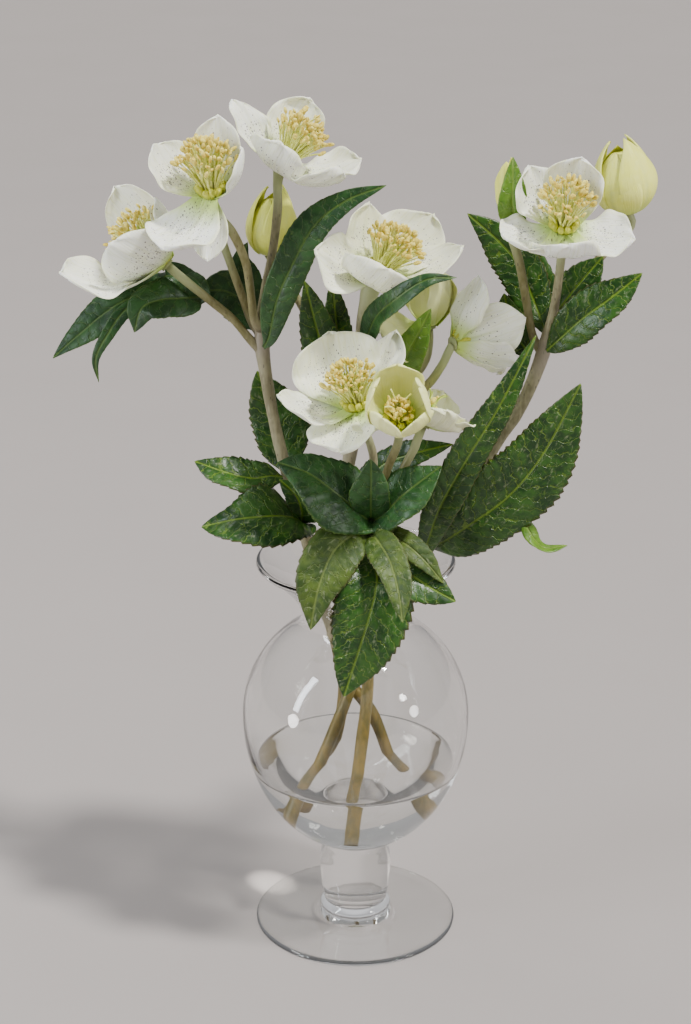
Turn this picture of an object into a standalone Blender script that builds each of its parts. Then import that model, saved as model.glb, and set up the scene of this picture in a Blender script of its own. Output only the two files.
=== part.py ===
"""A bouquet of hellebores in a footed glass vase, at real size.

World axes: X to the right, Y away from the front, Z up. The origin is the centre of the foot's
underside. Sizes below are millimetres, and MM turns them into metres.
"""

import math

import bmesh
import bpy
from mathutils import Vector

MM = 0.001

# The small space that pieces which touch keep between them.
GAP = 0.3

# Glass vase: a blown egg-shaped bowl with a flared lip, on a solid knop and a thin foot.
FOOT_RADIUS = 52.7
FOOT_THICKNESS = 2.6
COLLAR_RADIUS = 18.0
KNOP_RADIUS = 18.6
KNOP_TOP = 49.0
BOWL_RADIUS = 58.4
BOWL_EQUATOR = 119.6
BOWL_LOWER_HEIGHT = 74.0
SHOULDER_HEIGHT = 167.0
NECK_RADIUS = 27.8
NECK_HEIGHT = 175.0
LIP_RADIUS = 50.2
LIP_HEIGHT = 205.0
WALL = 2.5
WAIST_CUT = 121.5
NECK_CUT = 160.0
BOWL_FLOOR = 52.0
GLASS_STEPS = 30

WATER_LEVEL = 93.0
STEM_RADIUS = 3.15
PEDICEL_RADIUS = 2.1

SEPAL_THICKNESS = 0.8
RECEPTACLE_RADIUS = 3.0
CALYX_RINGS = 4
CALYX_COLUMNS_PER_SEPAL = 4

BLADE_THICKNESS = 0.8
BLADE_LENGTH_STEPS = 6
PETIOLE_HALF_WIDTH = 1.2
PETIOLE_RADIUS = 1.8

# Colours as linear red, green and blue.
CLEAR_GLASS = (0.93, 0.95, 0.95)
CLEAR_WATER = (0.90, 0.95, 0.94)
STEM_TAN = (0.26, 0.20, 0.08)
PEDICEL_GREEN = (0.24, 0.24, 0.09)
SEPAL_WHITE = (0.80, 0.82, 0.72)
SEPAL_CREAM = (0.68, 0.70, 0.36)
STAMEN_YELLOW = (0.62, 0.52, 0.16)
LEAF_GREEN = (0.045, 0.13, 0.03)
BRACT_GREEN = (0.12, 0.30, 0.04)

# Main stems, from the cut end in the water up to the last fork below the terminal flower.
# Each row is a point of the axis and the stem's radius there.
MAIN_STEMS = {
    "stem_left": (
        [
            (26, 12, 66, 3.15), (19, 9, 86, 3.15), (9, 6, 116, 3.15), (-6, 4, 141, 3.15),
            (-14, 4, 175, 3.15), (-25, 3, 215, 3.15), (-36, 2, 258, 3.15), (-41, 2, 282, 3.15),
            (-45, 3, 308, 3.2), (-46, 4, 321, 3.0), (-44.5, 3, 345, 2.1), (-40.5, 0, 364, 2.1),
            (-38, -2, 386, 2.1),
        ],
        "flower_3",
    ),
    "stem_right": (
        [
            (-28, -8, 66, 3.15), (-22, -6, 84, 3.15), (-5, -3, 128, 3.15), (9, 2, 172, 3.15),
            (22, 3, 196, 3.15), (37, 2, 213, 3.15), (55, 1, 241, 3.15), (72, 0, 272, 3.15),
            (79, 0, 283, 3.15), (86, 0, 299, 3.15), (92, 0, 318, 3.1), (96, -3, 341, 2.2),
        ],
        "flower_10",
    ),
    "stem_front": (
        [
            (-2, -21, 62, 3.15), (0, -20, 85, 3.15), (3, -17, 110, 3.15), (6, -15, 140, 3.15),
            (6, -16, 172, 3.15), (5, -19, 195, 3.15), (5, -24, 222, 3.1), (7, -27, 238, 2.6),
            (8, -28, 259, 2.1), (8, -29, 273, 2.1),
        ],
        "flower_5",
    ),
    "stem_back": (
        [
            (-16, 26, 70, 3.15), (-12, 24, 86, 3.15), (-6, 18, 123, 3.15), (-8, 12, 167, 3.15),
            (-8, 11, 195, 3.15), (-7, 12, 222, 3.15), (-4, 11, 250, 3.15), (-2, 10, 266, 2.9),
            (0, 8, 295, 2.3), (1.5, 5, 318, 2.2), (2.5, 2, 330, 2.7), (5.5, 0, 342, 5.2),
        ],
        "flower_4",
    ),
}

# Side stalks: the stem they leave, then points from that stem's axis outward, then what they carry.
PEDICELS = {
    "pedicel_1": ("stem_left", [(-45.5, 3.6, 314), (-52, 3, 321), (-60, 3, 331), (-70, 2, 340)],
                  "flower_1"),
    "pedicel_2": ("stem_left", [(-45.6, 3.7, 325), (-49.5, -0.5, 332), (-51, -4, 348),
                                (-53, -8, 363), (-59, -13, 379)],
                  "flower_2"),
    "pedicel_6": ("stem_front", [(7.5, -27.5, 249), (13, -32, 260), (16, -37, 271), (19, -43, 281)],
                  "flower_6"),
    "pedicel_7": ("stem_front", [(6.3, -26, 233), (14, -26, 242), (22, -26, 262), (28, -27, 275)],
                  "flower_7"),
    "pedicel_8": ("stem_back", [(-2, 10, 264), (8, 7, 274), (22, 2, 286), (35, -2, 299),
                                (42, -6, 310)], "flower_8"),
    "pedicel_9": ("stem_back", [(-1.2, 9.4, 275), (12, 11, 284), (25, 14, 293), (34, 18, 304)],
                  "flower_9"),
    "pedicel_11": ("stem_right", [(92.7, -0.6, 322), (98, 4, 328), (107, 13, 341), (119, 22, 356)],
                   "bud_11"),
    "pedicel_12": ("stem_right", [(91, 0, 314), (86, 2, 323), (82.5, 3, 340), (78.5, 4, 360)],
                   "bud_12"),
    "pedicel_13": ("stem_back", [(-2, 10, 266), (-9, 13, 290), (-17, 16, 312), (-27, 20, 333),
                                 (-38, 24, 349)], "bud_13"),
    "pedicel_hidden": ("stem_left", [(-45.9, 4, 322), (-51, 6.5, 329), (-56, 7, 343), (-64, 7, 367)],
                       None),
}

# Open flowers: centre of the receptacle, the way the flower faces, its stamens' spread and height,
# and five sepals in order round the flower. A sepal's row is the turn from the right in degrees,
# how far its tip reaches out from the axis, how far it rises along it, its half width, and how
# deep its back bellies out.
FLOWERS = {
    "flower_1": ((-91, 0, 359), (-0.735, 0.10, 0.67), (11, 21),
                 [(60, 17, 44, 17, 5), (150, 33, 21, 13, 6), (190, 36, 38, 13, 7),
                  (270, 25, 29, 17, 8), (350, 20, 26, 12, 5)]),
    "flower_2": ((-67.5, -22, 398), (-0.11, -0.24, 0.965), (12, 22),
                 [(78, 23, 31, 13, 4), (183, 21, 30, 15, 4), (235, 39, -6, 18, 8),
                  (272, 15, -26, 11, 3), (352, 16, 25, 13, 6)]),
    "flower_3": ((-36, -3, 407), (0.525, -0.04, 0.85), (12, 20),
                 [(20, 33, 23, 13, 6), (106, 27, 27, 15, 6), (180, 31, 24, 10, 6),
                  (260, 28, 17, 15, 7), (318, 28, 16, 13, 6)]),
    "flower_4": ((10, -1, 353), (0.46, -0.08, 0.885), (12, 21),
                 [(14, 31, 31, 13, 7), (71, 35, 30, 17, 7), (137, 24, 28, 12, 6),
                  (194, 36, 7, 14, 4), (265, 28, 20, 18, 9)]),
    "flower_5": ((1, -36, 298), (-0.25, -0.22, 0.94), (12, 20),
                 [(57, 42, 20, 12, 5), (104, 31, 28, 21, 7), (185, 34, 21, 13, 8),
                  (249, 30, -2, 18, 4), (305, 20, -2, 10, 3)]),
    "flower_6": ((20, -55, 294), (-0.05, -0.68, 0.73), (7, 12),
                 [(18, 15, 24, 12, 6), (90, 17, 24, 12, 6), (162, 15, 24, 12, 6),
                  (234, 16, 24, 12, 6), (306, 16, 24, 12, 6)]),
    "flower_7": ((32, -25, 286), (0.35, 0.34, 0.87), (6, 14),
                 [(10, 27, 20, 12, 5), (80, 22, 21, 12, 5), (150, 20, 17, 11, 4),
                  (215, 14, 14, 10, 4), (290, 22, 12, 12, 5)]),
    "flower_8": ((47, -5, 321), (0.85, 0.50, 0.17), (7, 17),
                 [(20, 20, 27, 14, 7), (80, 21, 28, 13, 7), (165, 22, 34, 15, 8),
                  (250, 24, 24, 15, 7), (320, 18, 34, 14, 6)]),
    "flower_9": ((36, 20, 322), (-0.02, 0.1, 0.99), None,
                 [(40, 8, 28, 11, 5), (110, 9, 26, 10, 5), (200, 27, 3, 13, 5),
                  (262, 9, 24, 9, 4), (325, 8, 28, 11, 5)]),
    "flower_10": ((98, -12, 379), (0.0, -0.27, 0.96), (12, 21),
                  [(68, 32, 23, 15, 6), (137, 22, 28, 13, 5), (208, 31, 13, 14, 6),
                   (272, 28, 20, 16, 9), (347, 34, 3, 15, 5)]),
}

# Closed buds: centre of the base, the way the bud points, its length and its largest radius.
BUDS = {
    "bud_11": ((133, 28, 378), (-0.18, -0.02, 0.98), 38, 16.0),
    "bud_12": ((73, 5, 383), (-0.06, 0.0, 1.0), 27, 6.5),
    "bud_13": ((-43, 23, 358), (0.10, 0.05, 0.99), 35, 12.5),
}

# Leaves: the stem they grow on, the point of its axis, the fork of a divided leaf or None, and
# the lobes. A lobe's row is its midrib after that point, its half width, its fold in degrees, and
# the way its upper face looks.
LEAVES = {
    "leaf_whorl_upper": ("stem_front", (7, -27, 239), (7, -35, 241), [
        ([(0, -39, 249), (-10, -41, 261), (-23, -39, 269), (-36, -35, 270)], 12, 12, (0, -0.7, 0.7)),
        ([(7, -41, 252), (7, -44, 262), (7, -45, 273)], 11, 14, (0, -0.95, 0.3)),
        ([(14, -40, 248), (24, -42, 258), (39, -38, 269)], 10, 16, (0, -0.7, 0.7)),
    ]),
    "leaf_whorl_lower": ("stem_front", (6.5, -26.4, 234), (7, -36, 234), [
        ([(-1, -44, 237), (-11, -54, 232), (-18, -62, 217), (-22, -65, 197)], 13, 12,
         (-0.1, -0.85, 0.5)),
        ([(10, -46, 235), (16, -58, 229), (20, -69, 218), (22, -76, 206)], 9, 22, (0, -0.9, 0.45)),
        ([(16, -41, 235), (25, -49, 233), (33, -54, 227), (41, -55, 217)], 7, 16,
         (0.2, -0.75, 0.6)),
    ]),
    "leaf_over_lip": ("stem_front", (5, -23, 218), None, [
        ([(8, -40, 224), (11, -54, 218), (7, -61, 200), (-6, -62, 160)], 21, 12,
         ((0, 0, 1), (0, -1, 0.2))),
    ]),
    "leaf_right_large": ("stem_right", (34.5, 2.2, 210.5), None, [
        ([(44, -13, 221), (57, -22, 234), (75, -25, 250), (91, -27, 273), (107, -30, 308)], 17, 10,
         (0.15, -0.95, 0.25)),
    ]),
    "leaf_right_narrow": ("stem_right", (30, 2.6, 204.8), None, [
        ([(34, -10, 214), (40, -24, 243), (52, -31, 272), (66, -34, 298), (84, -30, 332)], 8, 18,
         (0.1, -0.9, 0.3)),
    ]),
    "leaf_middle": ("stem_back", (-5.5, 11.5, 236), None, [
        ([(7, 7, 248), (16, 5, 256), (32, 1, 263), (47, 1, 267)], 8, 12, (0, -0.8, 0.6)),
    ]),
    "leaf_mid_left_upper": ("stem_left", (-33.6, 2.2, 249), None, [
        ([(-42, -4, 252), (-52, -7, 252), (-65, -6, 255), (-79, -2, 258)], 9, 16, (0, -0.55, 0.83)),
    ]),
    "leaf_mid_left_lower": ("stem_left", (-26.5, 2.9, 221), (-26.5, -6, 226), [
        ([(-33, -18, 236), (-44, -25, 240), (-59, -27, 240), (-75, -22, 234)], 14, 10,
         (0, -0.6, 0.8)),
        ([(-27, -10, 236), (-30, -9, 244), (-37, -6, 250)], 8, 14, (0, -0.8, 0.6)),
    ]),
    "leaf_behind_left_stem": ("stem_left", (-33, 2.3, 246), None, [
        ([(-35, 12, 258), (-39, 15, 274), (-44, 15, 287), (-49, 14, 300)], 14, 8, (0, -1, 0.1)),
    ]),
    "leaf_below_flower_1": ("pedicel_1", (-70, 2, 340), (-75, 8, 340), [
        ([(-86, 13, 343), (-104, 13, 341), (-119, 9, 335), (-136, 4, 322), (-148, 0, 312)], 11, 14,
         (-0.3, -0.75, 0.6)),
        ([(-84, 1, 342), (-94, -5, 343), (-103, -9, 340), (-106, -9, 329)], 11, 14,
         (-0.1, -0.8, 0.6)),
    ]),
    "leaf_left_fork": ("stem_left", (-45.9, 4, 320), (-49, 11, 327), [
        ([(-55, 15, 335), (-64, 17, 341), (-79, 17, 341)], 11, 8, (0.1, -0.9, 0.4)),
        ([(-51, 17, 336), (-53, 20, 346), (-56, 20, 356), (-53, 20, 364)], 8, 14, (0, -0.95, 0.3)),
    ]),
    "leaf_long_upright": ("stem_left", (-45.7, 4, 313), None, [
        ([(-42, -8, 326), (-38, -13, 345), (-31, -15, 362), (-20, -15, 382), (-5, -14, 394),
          (13, -12, 400)], 9, 16, (-0.3, -0.9, 0.2)),
    ]),
    "leaf_behind_flower_5": ("stem_back", (-1, 9, 281), (-6, 5.5, 290), [
        ([(-12, 3, 301), (-18, 2, 322), (-25, 1, 350)], 10, 12, (0, -1, 0.1)),
        ([(-8, 7, 303), (-9.5, 8, 325), (-12, 10, 350)], 7.5, 10, (0, -1, 0.1)),
    ]),
    "leaf_before_flower_4": ("stem_back", (0.6, 7, 304), None, [
        ([(4, -1, 318), (9, -14, 336), (17, -29, 349), (32, -34, 361), (46, -29, 361)], 6.5, 18,
         (-0.3, -0.8, 0.5)),
    ]),
    "leaf_before_flower_9": ("pedicel_8", (22, 2, 286), None, [
        ([(21, 1, 298), (24, -4, 313), (30, -8, 327), (36, -9, 339)], 8, 12, (0, -0.9, 0.4)),
    ]),
    "leaf_right_upper": ("stem_right", (92.4, -0.3, 320), (91.5, 8, 326), [
        ([(87, 15, 337), (80, 19, 353), (70, 20, 365), (55, 21, 378)], 11, 10, (0, -1, 0.2)),
        ([(91, 18, 337), (90, 21, 350), (87, 23, 363)], 7.5, 12, (0, -1, 0.2)),
    ]),
    "leaf_right_small": ("stem_right", (94.7, -2, 333), None, [
        ([(99, 1, 338), (106, 4, 346), (118, 5, 361)], 9, 14, (0, -1, 0.2)),
    ]),
    "leaf_right_outer": ("stem_right", (90.5, 0, 313.5), None, [
        ([(97, -8, 323), (108, -14, 336), (121, -16, 347), (135, -14, 358)], 11, 16,
         (0.2, -0.8, 0.6)),
    ]),
    "leaf_right_inner": ("stem_right", (90.6, 0, 313), None, [
        ([(82, 7, 316), (76, 9, 326), (72, 10, 341)], 8, 12, (0, -1, 0.2)),
    ]),
    "bract_12": ("pedicel_12", (76.6, 4.3, 366), None, [
        ([(76, -3, 380), (74, -5, 391), (74, -4, 401), (74, -1, 412)], 6.5, 16, (0, -1, 0)),
    ]),
}


def clear_scene():
    for leftover in list(bpy.data.objects):
        bpy.data.objects.remove(leftover, do_unlink=True)


def make_collection(name, hidden=False):
    collection = bpy.data.collections.new(name)
    bpy.context.scene.collection.children.link(collection)
    collection.hide_render = hidden
    return collection


def make_material(name, colour, roughness, transmission=0.0):
    material = bpy.data.materials.new(name)
    material.use_nodes = True
    shader = material.node_tree.nodes["Principled BSDF"]
    shader.inputs["Base Color"].default_value = (*colour, 1.0)
    shader.inputs["Roughness"].default_value = roughness
    shader.inputs["Metallic"].default_value = 0.0
    shader.inputs["Transmission Weight"].default_value = transmission
    return material


def make_object(name, data, collection, material=None):
    made = bpy.data.objects.new(name, data)
    collection.objects.link(made)
    if material is not None:
        data.materials.append(material)
    return made


def smooth_path(points, step):
    """Catmull-Rom curve through the points, whose last number may be a radius, sampled about
    every step millimetres."""
    rows = [list(map(float, point)) for point in points]
    ends = [[2 * a - b for a, b in zip(rows[0], rows[1])]]
    ends += rows
    ends.append([2 * a - b for a, b in zip(rows[-1], rows[-2])])
    samples = []
    for before, start, stop, after in zip(ends, ends[1:], ends[2:], ends[3:]):
        length = math.dist(start[:3], stop[:3])
        count = max(1, round(length / step))
        for index in range(count):
            t = index / count
            samples.append([
                0.5 * (2 * b + (c - a) * t + (2 * a - 5 * b + 4 * c - d) * t * t
                       + (3 * b - a - 3 * c + d) * t ** 3)
                for a, b, c, d in zip(before, start, stop, after)
            ])
    samples.append(rows[-1])
    return samples


def tube(name, samples, collection, material=None, swell=0.0):
    """A round tube with filled caps along samples of x, y, z and radius."""
    curve = bpy.data.curves.new(name, "CURVE")
    curve.dimensions = "3D"
    curve.bevel_depth = MM
    curve.bevel_resolution = 2
    curve.use_fill_caps = True
    spline = curve.splines.new("POLY")
    spline.points.add(len(samples) - 1)
    for point, (x, y, z, radius) in zip(spline.points, samples):
        point.co = (x * MM, y * MM, z * MM, 1.0)
        point.radius = radius + swell
    return make_object(name, curve, collection, material)


def tube_mesh(made):
    """Turns a tube into a closed mesh with welded caps, so that a Boolean can use it."""
    graph = bpy.context.evaluated_depsgraph_get()
    name, owner = made.name, made.users_collection[0]
    mesh = bpy.data.meshes.new_from_object(made.evaluated_get(graph))
    shape = bmesh.new()
    shape.from_mesh(mesh)
    bmesh.ops.remove_doubles(shape, verts=shape.verts, dist=0.01 * MM)
    bmesh.ops.recalc_face_normals(shape, faces=shape.faces)
    shape.to_mesh(mesh)
    shape.free()
    solid = bpy.data.objects.new(name + "_mesh", mesh)
    owner.objects.link(solid)
    solid.matrix_world = made.matrix_world
    bpy.data.objects.remove(made, do_unlink=True)
    return solid


def clear_of_stem(axis_points, first, second, half_width, face=None):
    """The first point moved along the way to the second until an end of that half width clears
    the stem whose axis it started on. With a face the end is a blade's, flat to that face."""
    start = Vector(first)
    low, high = min(zip(axis_points, axis_points[1:]), key=lambda leg: (
        (Vector(leg[0][:3]) + Vector(leg[1][:3])) / 2 - start).length)
    leg = Vector(high[:3]) - Vector(low[:3])
    axis = leg.normalized()
    share = min(max((start - Vector(low[:3])).dot(axis) / leg.length, 0.0), 1.0)
    start = Vector(low[:3]) + leg * share
    radius = low[3] + (high[3] - low[3]) * share
    way = (Vector(second) - start).normalized()
    cosine = axis.dot(way)
    sine = math.sqrt(1 - cosine * cosine)
    spread = half_width * abs(cosine)
    if face is not None:
        outward = (way - axis * cosine) / sine
        across = way.cross(looking(face, 0.0)).normalized()
        normal = across.cross(way)
        spread = half_width * abs(across.dot(outward))
        spread += BLADE_THICKNESS / 2 * abs(normal.dot(outward))
    return start + way * ((radius + GAP + spread) / sine)


def glass_outline():
    """Outer radius and height pairs of the bowl, neck and lip, from the lip down to the knop."""
    shoulder = math.sqrt(BOWL_RADIUS ** 2 - (SHOULDER_HEIGHT - BOWL_EQUATOR) ** 2)
    slope = (SHOULDER_HEIGHT - BOWL_EQUATOR) / shoulder
    reach = 5.0
    neck_in = bezier((NECK_RADIUS, NECK_HEIGHT), (NECK_RADIUS, NECK_HEIGHT - 0.5 * reach),
                     (shoulder - reach, SHOULDER_HEIGHT + reach / slope), (shoulder, SHOULDER_HEIGHT), 3)
    flare = bezier((LIP_RADIUS, LIP_HEIGHT), (LIP_RADIUS - 9, LIP_HEIGHT - 8),
                   (NECK_RADIUS, NECK_HEIGHT + 13), (NECK_RADIUS, NECK_HEIGHT), 6)
    points = flare[:-1] + neck_in[:-1]
    top = math.asin((SHOULDER_HEIGHT - BOWL_EQUATOR) / BOWL_RADIUS)
    for index in range(6):
        angle = top * (1 - index / 6)
        points.append((BOWL_RADIUS * math.cos(angle), BOWL_EQUATOR + BOWL_RADIUS * math.sin(angle)))
    low = math.acos(KNOP_RADIUS / BOWL_RADIUS)
    for index in range(8):
        angle = -low * index / 7
        points.append((BOWL_RADIUS * math.cos(angle),
                       BOWL_EQUATOR + BOWL_LOWER_HEIGHT * math.sin(angle)))
    return points


def bezier(start, first, second, stop, steps):
    points = []
    for index in range(steps + 1):
        t = index / steps
        weights = ((1 - t) ** 3, 3 * t * (1 - t) ** 2, 3 * t * t * (1 - t), t ** 3)
        points.append(tuple(
            sum(weight * point[axis] for weight, point in zip(weights, (start, first, second, stop)))
            for axis in (0, 1)))
    return points


def inner_wall(outline, wall):
    """The outline moved inward by the wall along its own normal, kept above the bowl's floor."""
    moved = []
    for index, (radius, height) in enumerate(outline):
        before = outline[max(index - 1, 0)]
        after = outline[min(index + 1, len(outline) - 1)]
        run, rise = after[0] - before[0], after[1] - before[1]
        length = math.hypot(run, rise)
        moved.append((radius + rise / length * wall, height - run / length * wall))
    return moved


def bowl_inside(wall):
    """Radius and height pairs of the inside, from the floor's centre up to the lip."""
    inside = inner_wall(glass_outline(), wall)[:-1]
    lower = [point for point in inside if point[1] > BOWL_FLOOR + 6]
    rounded = [(0.0, BOWL_FLOOR + wall - WALL), (9.0, BOWL_FLOOR + 0.8 + wall - WALL)]
    return rounded + lower[::-1]


def turned(name, profile, steps, collection, material=None):
    """A solid of revolution about Z. The profile runs down its outer side, from axis to axis,
    or ends where it starts and makes a ring."""
    mesh = bpy.data.meshes.new(name)
    shape = bmesh.new()
    closed = profile[0] == profile[-1]
    corners = [shape.verts.new((radius * MM, 0.0, height * MM))
               for radius, height in (profile[:-1] if closed else profile)]
    for first, second in zip(corners, corners[1:] + (corners[:1] if closed else [])):
        shape.edges.new((first, second))
    shape.to_mesh(mesh)
    shape.free()
    made = make_object(name, mesh, collection, material)
    screw = made.modifiers.new("turn", "SCREW")
    screw.axis = "Z"
    screw.steps = steps
    screw.render_steps = steps
    screw.use_merge_vertices = True
    screw.merge_threshold = 0.01 * MM
    return made


def part_at(profile, height, gap):
    """A profile that crosses the height on both walls, as the base below it and the ring above."""
    base, ring = [], []
    for first, second in zip(profile, profile[1:]):
        (base if first[1] < height else ring).append(first)
        if (first[1] < height) != (second[1] < height):
            share = (height - first[1]) / (second[1] - first[1])
            radius = first[0] + share * (second[0] - first[0])
            ends = [(base, (radius, height - gap / 2)), (ring, (radius, height + gap / 2))]
            for side, point in ends:
                side.append(point)
    return base + [profile[-1]], ring + ring[:1]


def make_vase(collection):
    """The glass in three solids, cut at the bowl's waist and below its neck, so that its inside
    stays open."""
    outline = glass_outline()
    inside = bowl_inside(WALL)
    rim_middle = ((inside[-1][0] + outline[0][0]) / 2, (inside[-1][1] + outline[0][1]) / 2)
    rim = [(rim_middle[0] - 0.6, rim_middle[1] + 1.0), (rim_middle[0] + 0.6, rim_middle[1] + 1.0)]
    knop = [(KNOP_RADIUS - 0.6, KNOP_TOP - 2), (KNOP_RADIUS, KNOP_TOP - 10),
            (KNOP_RADIUS - 0.5, 26), (KNOP_RADIUS - 1.9, 13)]
    collar = [(COLLAR_RADIUS, 9.5), (COLLAR_RADIUS, 6.6), (COLLAR_RADIUS + 1.2, 4.6)]
    foot = [(26, FOOT_THICKNESS + 0.8), (FOOT_RADIUS - 1.2, FOOT_THICKNESS),
            (FOOT_RADIUS, FOOT_THICKNESS * 0.55), (FOOT_RADIUS - 0.7, 0.0), (0.0, 0.0)]
    glass = make_material("clear_glass", CLEAR_GLASS, 0.02, 1.0)
    base, upper = part_at(inside + rim + outline + knop + collar + foot, WAIST_CUT, 0.2)
    shoulder, neck = part_at(upper, NECK_CUT, 0.2)
    turned("vase", base, GLASS_STEPS, collection, glass)
    turned("vase_shoulder", shoulder, GLASS_STEPS, collection, glass)
    turned("vase_neck", neck, GLASS_STEPS, collection, glass)


def make_water(collection, cutters, stem_samples):
    """The water fills the bowl up to its level, less the stems that stand in it."""
    inside = [point for point in bowl_inside(WALL + GAP) if point[1] < WATER_LEVEL - 2]
    after = [point for point in bowl_inside(WALL + GAP) if point[1] > WATER_LEVEL][0]
    last = inside[-1]
    share = (WATER_LEVEL - last[1]) / (after[1] - last[1])
    edge = (last[0] + share * (after[0] - last[0]), WATER_LEVEL)
    profile = [(0.0, WATER_LEVEL), edge] + inside[::-1]
    water = turned("water", profile, GLASS_STEPS, collection,
                   make_material("clear_water", CLEAR_WATER, 0.02, 1.0))
    for name, samples in stem_samples.items():
        wet = [sample for sample in samples if sample[2] < WATER_LEVEL + 12]
        below = [2 * a - b for a, b in zip(wet[0], wet[1])]
        length = math.dist(wet[0][:3], wet[1][:3])
        tip = [a + (b - a) * GAP / length for a, b in zip(wet[0], below)]
        tip[3] = wet[0][3]
        cutter = tube_mesh(tube(name + "_space", [tip] + wet[1:], cutters, swell=GAP))
        cutter.hide_render = True
        cutter.display_type = "WIRE"
        cut = water.modifiers.new("space_for_" + name, "BOOLEAN")
        cut.operation = "DIFFERENCE"
        cut.solver = "EXACT"
        cut.object = cutter
    return water


def stalk_end(head):
    """The last two points of a stalk, in line with the flower or bud that it carries."""
    if head in FLOWERS:
        centre, facing = FLOWERS[head][:2]
        below = SEPAL_THICKNESS / 2 + GAP
    else:
        centre, facing = BUDS[head][:2]
        below = GAP
    centre, facing = Vector(centre), Vector(facing).normalized()
    return [tuple(centre - facing * 8), tuple(centre - facing * below)]


def make_stems(collection):
    """Every stem and stalk. Returns the sampled axis of each, with its radius."""
    samples = {}
    bark = make_material("stem_skin", STEM_TAN, 0.6)
    green = make_material("pedicel_skin", PEDICEL_GREEN, 0.55)
    for name, (points, head) in MAIN_STEMS.items():
        near_top, top = stalk_end(head)
        tip_radius = RECEPTACLE_RADIUS - 0.5
        last = min(points[-1][3], 4.8)
        route = points + [(*near_top, last), (*top, tip_radius)]
        samples[name] = smooth_path(route, 14)
        tube(name, samples[name], collection, bark)
    for name, (parent, points, head) in PEDICELS.items():
        start = clear_of_stem(samples[parent], points[0], points[1], PEDICEL_RADIUS)
        route = [(*start, PEDICEL_RADIUS)] + [(*point, PEDICEL_RADIUS) for point in points[1:]]
        if head is None:
            tip = Vector(points[-1])
            way = (tip - Vector(points[-2])).normalized()
            route += [(*(tip + way * 4), 3.4), (*(tip + way * 8), 3.0), (*(tip + way * 11), 0.8)]
        else:
            near_top, top = stalk_end(head)
            route += [(*near_top, PEDICEL_RADIUS), (*top, RECEPTACLE_RADIUS - 0.5)]
        samples[name] = smooth_path(route, 9)
        tube(name, samples[name], collection, green)
    return samples


def flower_axes(facing):
    """The flower's axis, then the two directions across it from which sepals are turned."""
    axis = Vector(facing).normalized()
    right = Vector((1, 0, 0))
    right = (right - axis * right.dot(axis)).normalized()
    return axis, right, axis.cross(right)


def sepal_point(centre, axes, sepal, share, side):
    """A point of one sepal: share runs from base to tip and side from one edge to the other."""
    axis, right, back = axes
    turn, reach, rise, half_width, belly = sepal
    out = right * math.cos(math.radians(turn)) + back * math.sin(math.radians(turn))
    base = out * RECEPTACLE_RADIUS
    chord = out * reach + axis * rise - base
    across = axis.cross(out)
    behind = across.cross(chord).normalized()
    if behind.dot(out * rise - axis * reach) < 0:
        behind = -behind
    width = half_width * math.sin(math.pi * share ** 1.15) ** 0.7 if 0 < share < 1 else 0.0
    middle = base + chord * share + behind * (4 * belly * share * (1 - share))
    return centre + middle + across * (side * width) - behind * (0.25 * width * side * side)


def make_calyx(name, flower, collection, material):
    """The flower's sepals as one lobed cup: rings of points grown outward from the receptacle.
    Between two sepals the cup is notched, so that each sepal's end stands free."""
    centre, facing, _, sepals = FLOWERS[flower]
    axes = flower_axes(facing)
    columns = CALYX_COLUMNS_PER_SEPAL * len(sepals)
    shape = bmesh.new()
    bmesh.ops.create_circle(shape, cap_ends=True, cap_tris=True, segments=columns, radius=1.0)
    edge = [e for e in shape.edges if e.is_boundary]
    for ring in range(CALYX_RINGS):
        grown = bmesh.ops.extrude_edge_only(shape, edges=edge)["geom"]
        for vertex in (v for v in grown if isinstance(v, bmesh.types.BMVert)):
            vertex.co *= (ring + 2) / (ring + 1)
        edge = [e for e in grown if isinstance(e, bmesh.types.BMEdge)]
    for vertex in shape.verts:
        ring = round(vertex.co.length) - 1
        column = round(math.atan2(vertex.co.y, vertex.co.x) * columns / math.tau) % columns
        vertex.co = calyx_point(Vector(centre), axes, sepals, ring, column) * MM
    bmesh.ops.recalc_face_normals(shape, faces=shape.faces)
    mesh = bpy.data.meshes.new(name)
    shape.to_mesh(mesh)
    shape.free()
    cup = make_object(name, mesh, collection, material)
    thicken(cup, SEPAL_THICKNESS)
    return cup


def calyx_point(centre, axes, sepals, ring, column):
    if ring < 0:
        return centre
    which, step = divmod(column, CALYX_COLUMNS_PER_SEPAL)
    share = ring / CALYX_RINGS
    sepal, following = sepals[which], sepals[(which + 1) % len(sepals)]
    if ring == 0:
        span = (following[0] - sepal[0]) % 360
        turn = math.radians(sepal[0] + span * step / CALYX_COLUMNS_PER_SEPAL)
        axis, right, back = axes
        return centre + (right * math.cos(turn) + back * math.sin(turn)) * RECEPTACLE_RADIUS
    if step == 0:
        return sepal_point(centre, axes, sepal, share, 0.0)
    if step == 1:
        return sepal_point(centre, axes, sepal, share * 0.93, 0.62)
    if step == 3:
        return sepal_point(centre, axes, following, share * 0.93, -0.62)
    near = sepal_point(centre, axes, sepal, share * 0.72, 0.75)
    far = sepal_point(centre, axes, following, share * 0.72, -0.75)
    return (near + far) / 2


def thicken(made, thickness):
    solidify = made.modifiers.new("thickness", "SOLIDIFY")
    solidify.thickness = thickness * MM
    solidify.offset = 0.0
    return solidify


def place_on_axis(made, centre, facing):
    made.location = Vector(centre) * MM
    made.rotation_mode = "QUATERNION"
    made.rotation_quaternion = Vector(facing).normalized().to_track_quat("Z", "Y")


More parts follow.
